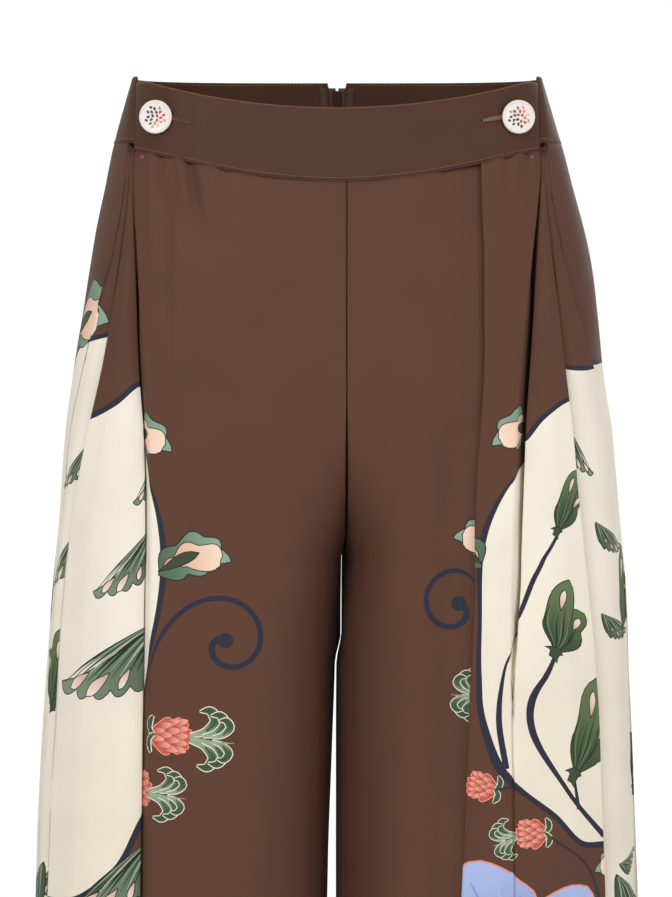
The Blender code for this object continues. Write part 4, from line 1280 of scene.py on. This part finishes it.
def lineOn(points, row, lift, first=0, last=None):
    # a line along a row of a sheet, lifted off its outside
    low = min(int(row), len(points) - 2)
    line = (points[low] * (1 - row + low) + points[low + 1] * (row - low))[first:last]
    tangent = np.gradient(line, axis=0)
    out = np.stack([tangent[:, 1], -tangent[:, 0], np.zeros(len(line))], axis=-1)
    out /= np.maximum(np.linalg.norm(out, axis=1, keepdims=True), 1e-9)
    middle = len(line) // 2
    facing = 1 if out[middle] @ (line[middle] * (1, 1, 0)) > 0 else -1
    return line + out * facing * lift


def plainMaterial(name, code, roughness, metallic=0.0, speckle=0.0, **constants):
    # one colour, with a faint unevenness so that it doesn't look moulded
    shader = Shader(name, **constants)
    shader.surface.inputs["Metallic"].default_value = metallic
    place = shader.node("ShaderNodeTexCoord", {}, {}, "Object")
    grain = shader.noise(place, 700.0, 3.0)
    colour = (*linear(code), 1.0)
    if speckle:
        shade = shader.grey(1.0 + (grain - 0.5) * speckle)
        shader.feed("Base Color", shader.mix(colour, shade, 1.0, "MULTIPLY"))
    else:
        shader.surface.inputs["Base Color"].default_value = colour
    shader.feed("Roughness", roughness + (grain - 0.5) * 0.12)
    shader.bump(grain, 0.25, 0.00003)
    return shader.material


stitches = {"pitch": 2.5, "size": (1.9, 0.5, 0.5), "seamRow": 13.5, "innerRow": 3.0, "hemAt": -1030.0,
            "lift": 0.12, "hemLift": 0.1}
bandThread = plainMaterial("thread, waistband", "#8c6350", 0.5, speckle=0.3, Sheen_Weight=0.1)
hemThread = plainMaterial("thread, hem", "#6b4a3a", 0.5, speckle=0.3, Sheen_Weight=0.2)
silk = plainMaterial("thread, buttonhole", "#7c6253", 0.42, speckle=0.4, Sheen_Weight=0.25)
# painted shade: a near-black finish for the strip that fills each buttonhole slit
slitShade = plainMaterial("shade in the slit", "#1c0f0b", 0.9)
lines = [lineOn(flapPoints, stitches["seamRow"], stitches["lift"], 1, -1)]
for side in ("right", "left"):
    lines.append(lineOn(backBands[side], stitches["seamRow"], stitches["lift"], 12, -2))
    # understitching, on the inside of the back top edge
    lines.append(lineOn(backBands[side], stitches["innerRow"], -(cut["bandPly"] + stitches["lift"]), 30, -3))
layRow("band_stitches", lines, bandThread, stitches["pitch"], stitches["size"])
hems = [lineOn(grid.points, grid.rowOf(stitches["hemAt"]), stitches["hemLift"], 2, -2)
        for grid in grids.values()]
layRow("hem_stitches", hems, hemThread, stitches["pitch"], stitches["size"], seed=5)


# buttons: as in the part, a button stands off the flap on its shank, turned towards the side
button = {"radius": 11.0, "x": 118.1, "z": -27.9, "turn": 24.0, "faces": 12.0, "standoff": 3.6, "shank": 1.6,
          "face": 9.2, "thick": 1.9, "dish": 0.25, "segments": 56, "rings": 7, "leaf": 1.25,
          "holeLength": 24.0, "holeFalls": {"right": 4.4, "left": 2.8}, "holePoints": 30}
# a spray of small leaves on each face: dark on one side, through red, to pink on the other
spray = {"leaves": 21, "reach": 0.76, "foot": 0.2, "warm": {"right": -45.0, "left": 20.0},
         "turn": {"right": 0.4, "left": 1.9}}
shell = {"maroon": "#45232a", "maroonDeep": "#32161c", "tan": "#a58a74", "red": "#b9352d", "pink": "#e0897a",
         "rose": "#ecae9f", "pearl": "#e9e2db"}
ink.update({key: linear(code) for key, code in shell.items()})


def pearlMaterial():
    # mother-of-pearl with its print under the lacquer
    shader = Shader("printed shell", Coat_Weight=0.7, Coat_Roughness=0.08, Specular_IOR_Level=0.5)
    place = shader.node("ShaderNodeTexCoord", {}, {}, "Object")
    cloud = shader.noise(place, 260.0, 3.0)
    printing = shader.node("ShaderNodeVertexColor", {"layer_name": "print"}, {})
    shade = shader.grey(0.98 + (cloud - 0.5) * 0.14)
    shader.feed("Base Color", shader.mix(printing, shade, 1.0, "MULTIPLY"))
    shader.feed("Roughness", 0.24 + cloud * 0.14)
    return shader.material


def sprayLeaves(side):
    # the leaves' colours and places on a face of radius 1, spread as seeds are in a flower head
    warm = math.radians(spray["warm"][side])
    golden = math.pi * (3 - math.sqrt(5))
    for k in range(spray["leaves"]):
        reach = spray["reach"] * math.sqrt((k + 0.7) / spray["leaves"])
        angle = k * golden + spray["turn"][side]
        warmth = reach * math.cos(angle - warm)
        pair = ("red", "red")
        if warmth < 0:
            pair = ("maroon", "maroonDeep")
        if warmth >= 0.35:
            pair = ("pink", "rose")
        yield "tan" if k % 9 == 7 else pair[k % 2], reach * math.cos(angle), reach * math.sin(angle)


def buttonFace(side, circle):
    # the printed face, cut along the leaves of its spray: its points, triangles and corner colours
    face = button["face"]
    verts, edges = [(0.0, 0.0)], []
    for r in np.linspace(face / button["rings"], face, button["rings"]):
        first = len(verts)
        verts += [tuple(p) for p in circle * r]
        edges += [(first + k, first + (k + 1) % len(circle)) for k in range(len(circle))]
    layers = []
    warm = math.radians(spray["warm"][side])
    start = np.array([math.cos(warm), math.sin(warm)]) * spray["foot"] * face
    for colour, x, y in sprayLeaves(side):
        middle = np.array([x, y]) * face
        away = (middle - start) / max(np.hypot(*(middle - start)), 1e-6)
        lean = 0.7 * math.sin(9 * x + 7 * y)
        turned = np.array([away[0] * math.cos(lean) - away[1] * math.sin(lean),
                           away[0] * math.sin(lean) + away[1] * math.cos(lean)])
        leaf = Placed(middle - turned * button["leaf"], middle + turned * button["leaf"])
        runs = lobes([(0, 0), (0.5, 0.33), (1, 0), (0.5, -0.33), (0, 0)], (0.2, 0.2, 0.2, 0.2), 4)
        fill(layers, leaf.at(np.vstack([run[:-1] for run in runs])), colour, colour)
        brush(layers, [(*((start + middle) / 2), 0.1), (*(middle - away), 0.14)], "tan", step=0.8)
    places, triangles, top = inkCut(verts, edges, [layer["outline"] for layer in layers], "button_" + side)
    keep = np.hypot(*places[triangles].mean(axis=1).T) < face
    triangles, top = triangles[keep], top[keep]
    colours = np.ones((len(triangles), 3, 4))
    colours[:, :, :3] = ink["pearl"]
    for k in set(top[top >= 0].tolist()):
        colours[top == k, :, :3] = layers[k]["ink"]
    rise = button["standoff"] + button["thick"] - button["dish"] * (1 - (np.hypot(*places.T) / face)**2)
    return np.column_stack([places, rise]), triangles, colours.reshape(-1, 4)


def buttonBody(circle, first):
    # the rim, edge, back and shank, turned; first is where its points start
    back, radius, face, shank = button["standoff"], button["radius"], button["face"], button["shank"]
    profile = [(face, back + 1.9), (face + 0.3, back + 2.25), (face + 0.8, back + 2.42),
               (radius - 0.75, back + 2.3), (radius - 0.25, back + 1.95), (radius, back + 1.35),
               (radius - 0.2, back + 0.8), (radius - 0.8, back + 0.35), (face, back), (3.4, back - 0.1),
               (2.2, back - 0.5), (shank, back - 1.2), (shank, -0.6), (0.02, -0.6)]
    rings = np.array([[(*(p * r), z) for p in circle] for r, z in profile]).reshape(-1, 3)
    count = len(circle)
    quads = []
    for j in range(len(profile) - 1):
        here, ahead = first + j * count, first + (j + 1) * count
        quads += [(ahead + k, ahead + (k + 1) % count, here + (k + 1) % count, here + k)
                  for k in range(count)]
    return rings, quads


def makeButton(side, finish):
    sign = signs[side]
    turn = math.radians(button["turn"])
    section = baseSection(side, button["z"] + 5)
    reach = button["standoff"] + button["thick"]
    footX = button["x"] - reach * math.sin(turn)
    foot = walk(section, placeOfX(section, footX))
    centre = np.array([sign * (foot[0] + reach * math.sin(turn)), foot[1] - reach * math.cos(turn),
                       button["z"]])
    # the button hangs from its shank and looks a little further forward than the flap does
    turn = math.radians(button["faces"])
    facing = np.array([sign * math.sin(turn), -math.cos(turn), 0])
    across = np.array([math.cos(turn), sign * math.sin(turn), 0])
    centre -= facing * reach
    circle = ringOf(button["segments"])
    flat, triangles, colours = buttonFace(side, circle)
    rings, quads = buttonBody(circle, len(flat))
    local = np.vstack([flat, rings])
    points = centre + local[:, :1] * across + local[:, 1:2] * np.array([0, 0, 1.0]) + local[:, 2:] * facing
    shades = np.vstack([colours, np.tile(np.append(ink["pearl"], 1.0), (len(quads) * 4, 1))])
    mesh = makeMesh("button_" + side, points, [tuple(t) for t in triangles] + quads,
                    np.zeros((len(shades), 2)), shades)
    piece = makePiece("button_" + side + "_shell", mesh, [finish])
    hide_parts("button_" + side)
    return section, footX


def makeButtonhole(side, section, footX):
    # satin stitches round the slit, and a dark strip in the slit whose colour is painted shade
    sign, count = signs[side], button["holePoints"]
    xs = np.linspace(footX - button["holeLength"] + 3, footX - 6, count)
    at = np.array([placeOfX(section, float(x)) for x in xs])
    ply = walk(section, at, -0.35)
    falls = button["holeFalls"][side] * np.linspace(1, 0, count)
    middle = np.stack([sign * ply[:, 0], ply[:, 1], button["z"] + 0.4 - falls], axis=-1)
    parted = np.array([0, 0, 0.5]) * np.linspace(0.1, 1, count)[:, None]
    lip = np.array([0, 0, 0.35]) + parted
    layRow("buttonhole_" + side, [middle + lip, middle - lip], silk, 0.42, (0.45, 0.5, 1.7),
           wander=0.6, seed=11)
    strip = np.vstack([middle + parted, middle - parted])
    polygons = [(k, k + 1, count + 1 + k, count + k) for k in range(count - 1)]
    if sign > 0:
        polygons = [p[::-1] for p in polygons]
    # the strip between the lips is painted shade, standing in for the dark opening
    mesh = makeMesh("slit_" + side, strip, polygons)
    makePiece("buttonhole_slit_" + side, mesh, [slitShade])


pearl = pearlMaterial()
for side in ("right", "left"):
    makeButtonhole(side, *makeButton(side, pearl))
# a bartack below each end of the flap
tack = {"x": (127.4, 125.6), "drops": (0, 0.6, 1.2), "z": -53.2, "lift": 0.5, "pitch": 0.7,
        "size": (0.9, 0.4, 0.5)}
section = baseSection("left", -50.0)
ends = walk(section, np.array([placeOfX(section, x) for x in tack["x"]]), -tack["lift"])
tacks = [np.column_stack([sign * ends[:, 0], ends[:, 1], [tack["z"] - drop] * 2])
         for sign in (-1, 1) for drop in tack["drops"]]
layRow("bartacks", tacks, plainMaterial("thread, bartack", "#a9745f", 0.5), tack["pitch"],
       tack["size"])
print("stitches and buttons made")

# the zip, closed at the centre back: its tapes and teeth
zipper = {"tape": (0.9, 11.6), "inset": 1.7, "ply": 0.8, "top": -3.5, "bottom": -186.0, "rows": 60,
          "tapeDye": "#4a3026", "firstTooth": -17.5, "toothPitch": 1.35, "toothX": 0.5,
          "tooth": (0.75, 1.1, 1.15), "teethInset": 2.35, "teethPoints": 50}
tapeCloth = plainMaterial("zip tape", zipper["tapeDye"], 0.75, speckle=0.25, Sheen_Weight=0.15)
coil = plainMaterial("zip coil", "#3b2620", 0.38)
metal = plainMaterial("lacquered zip metal", "#5b3f33", 0.3, metallic=0.75, speckle=0.1)
levels = np.linspace(zipper["top"], zipper["bottom"], zipper["rows"])
surface = np.array([readTable(body["level"], body["back"], float(level)) for level in levels])
across = np.linspace(*zipper["tape"], 4)
teeth = []
for side in ("right", "left"):
    sign = signs[side]
    points = np.array([[(sign * x, y - zipper["inset"], z) for x in across] for y, z in zip(surface, levels)])
    q = np.tile(across - across[0], (len(levels), 1))
    piece = quadSheet("zip_tape_" + side + "_cloth", points, q, levels, sign > 0, [tapeCloth],
                      linear(zipper["tapeDye"]), zipper["ply"])
    standsFor("zip_tape_" + side, q, levels)
    start = zipper["firstTooth"] - (zipper["toothPitch"] / 2 if sign > 0 else 0)
    run = np.linspace(start, zipper["bottom"] + 1, zipper["teethPoints"])
    depth = np.array([readTable(body["level"], body["back"], float(z)) for z in run])
    teeth.append(np.stack([sign * zipper["toothX"] + 0 * run, depth - zipper["teethInset"], run], axis=-1))
piece = layRow("zip_teeth", teeth, coil, zipper["toothPitch"], zipper["tooth"], wander=0.0)
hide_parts("zip_chain")
for name in ("zip_slider", "zip_pull"):
    for slot in bpy.data.objects[name].material_slots:
        slot.material = metal
print("zip made")


studio = {
    "sky": 0.6, "backdrop": 1.05, "floor": (0.86, 0.86, 0.86, 1.0), "floorGap": 0.02, "floorReach": 2.8,
    "floorPoints": 96,
    "lights": {
        "key": {"place": (-1.1, -2.4, 1.0), "aim": (0, 0, -0.3), "size": (1.6, 1.6), "power": 31.0},
        "fill": {"place": (1.8, -1.8, 0.1), "aim": (0, 0, -0.3), "size": (1.4, 1.8), "power": 13.0},
        "rear": {"place": (0.8, 2.6, 0.4), "aim": (0, 0, -0.5), "size": (1.6, 1.6), "power": 16.0},
    },
}


def softLight(name, place, aim, size, power):
    light = bpy.data.lights.new(name, "AREA")
    light.shape = "RECTANGLE"
    light.size, light.size_y = size
    light.energy = power
    item = bpy.data.objects.new(name, light)
    item.location = place
    item.rotation_euler = (Vector(aim) - Vector(place)).to_track_quat("-Z", "Y").to_euler()
    bpy.context.collection.objects.link(item)


def studioSet():
    z = min(corner[2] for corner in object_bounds()) - studio["floorGap"]
    rim = [(*(studio["floorReach"] * p), z) for p in ringOf(studio["floorPoints"])]
    mesh = bpy.data.meshes.new("studio_floor")
    mesh.from_pydata(rim, [], [tuple(range(len(rim)))])
    floor = bpy.data.objects.new("studio_floor", mesh)
    bpy.context.collection.objects.link(floor)
    paint = Shader("pale floor", Roughness=0.9)
    paint.surface.inputs["Base Color"].default_value = studio["floor"]
    mesh.materials.append(paint.material)
    floor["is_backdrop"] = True
    world = bpy.data.worlds.new("studio")
    world.use_nodes = True
    nodes, links = world.node_tree.nodes, world.node_tree.links
    # the eye sees a white backdrop, and the garment is lit by a softer sky
    glow, bright = nodes["Background"], nodes.new("ShaderNodeBackground")
    for item, key in ((glow, "sky"), (bright, "backdrop")):
        item.inputs["Color"].default_value = (1.0, 1.0, 1.0, 1.0)
        item.inputs["Strength"].default_value = studio[key]
    sight, both = nodes.new("ShaderNodeLightPath"), nodes.new("ShaderNodeMixShader")
    links.new(sight.outputs["Is Camera Ray"], both.inputs[0])
    links.new(glow.outputs[0], both.inputs[1])
    links.new(bright.outputs[0], both.inputs[2])
    links.new(both.outputs[0], nodes["World Output"].inputs["Surface"])
    bpy.context.scene.world = world
    for name, settings in studio["lights"].items():
        softLight(name, **settings)
    bpy.context.scene.view_settings.view_transform = "Standard"


studioSet()
camera = bpy.data.objects.new("camera", bpy.data.cameras.new("camera"))
camera.data.lens = eye["lens"]
camera.data.sensor_width = eye["sensor"]
aim = Vector((eye["aim"][0], 0, eye["aim"][1])) * mm
camera.location = (eye["aim"][0] * mm, -eye["distance"] * mm, eye["height"] * mm)
camera.rotation_euler = (aim - camera.location).to_track_quat("-Z", "Y").to_euler()
bpy.context.collection.objects.link(camera)
bpy.context.scene.camera = camera
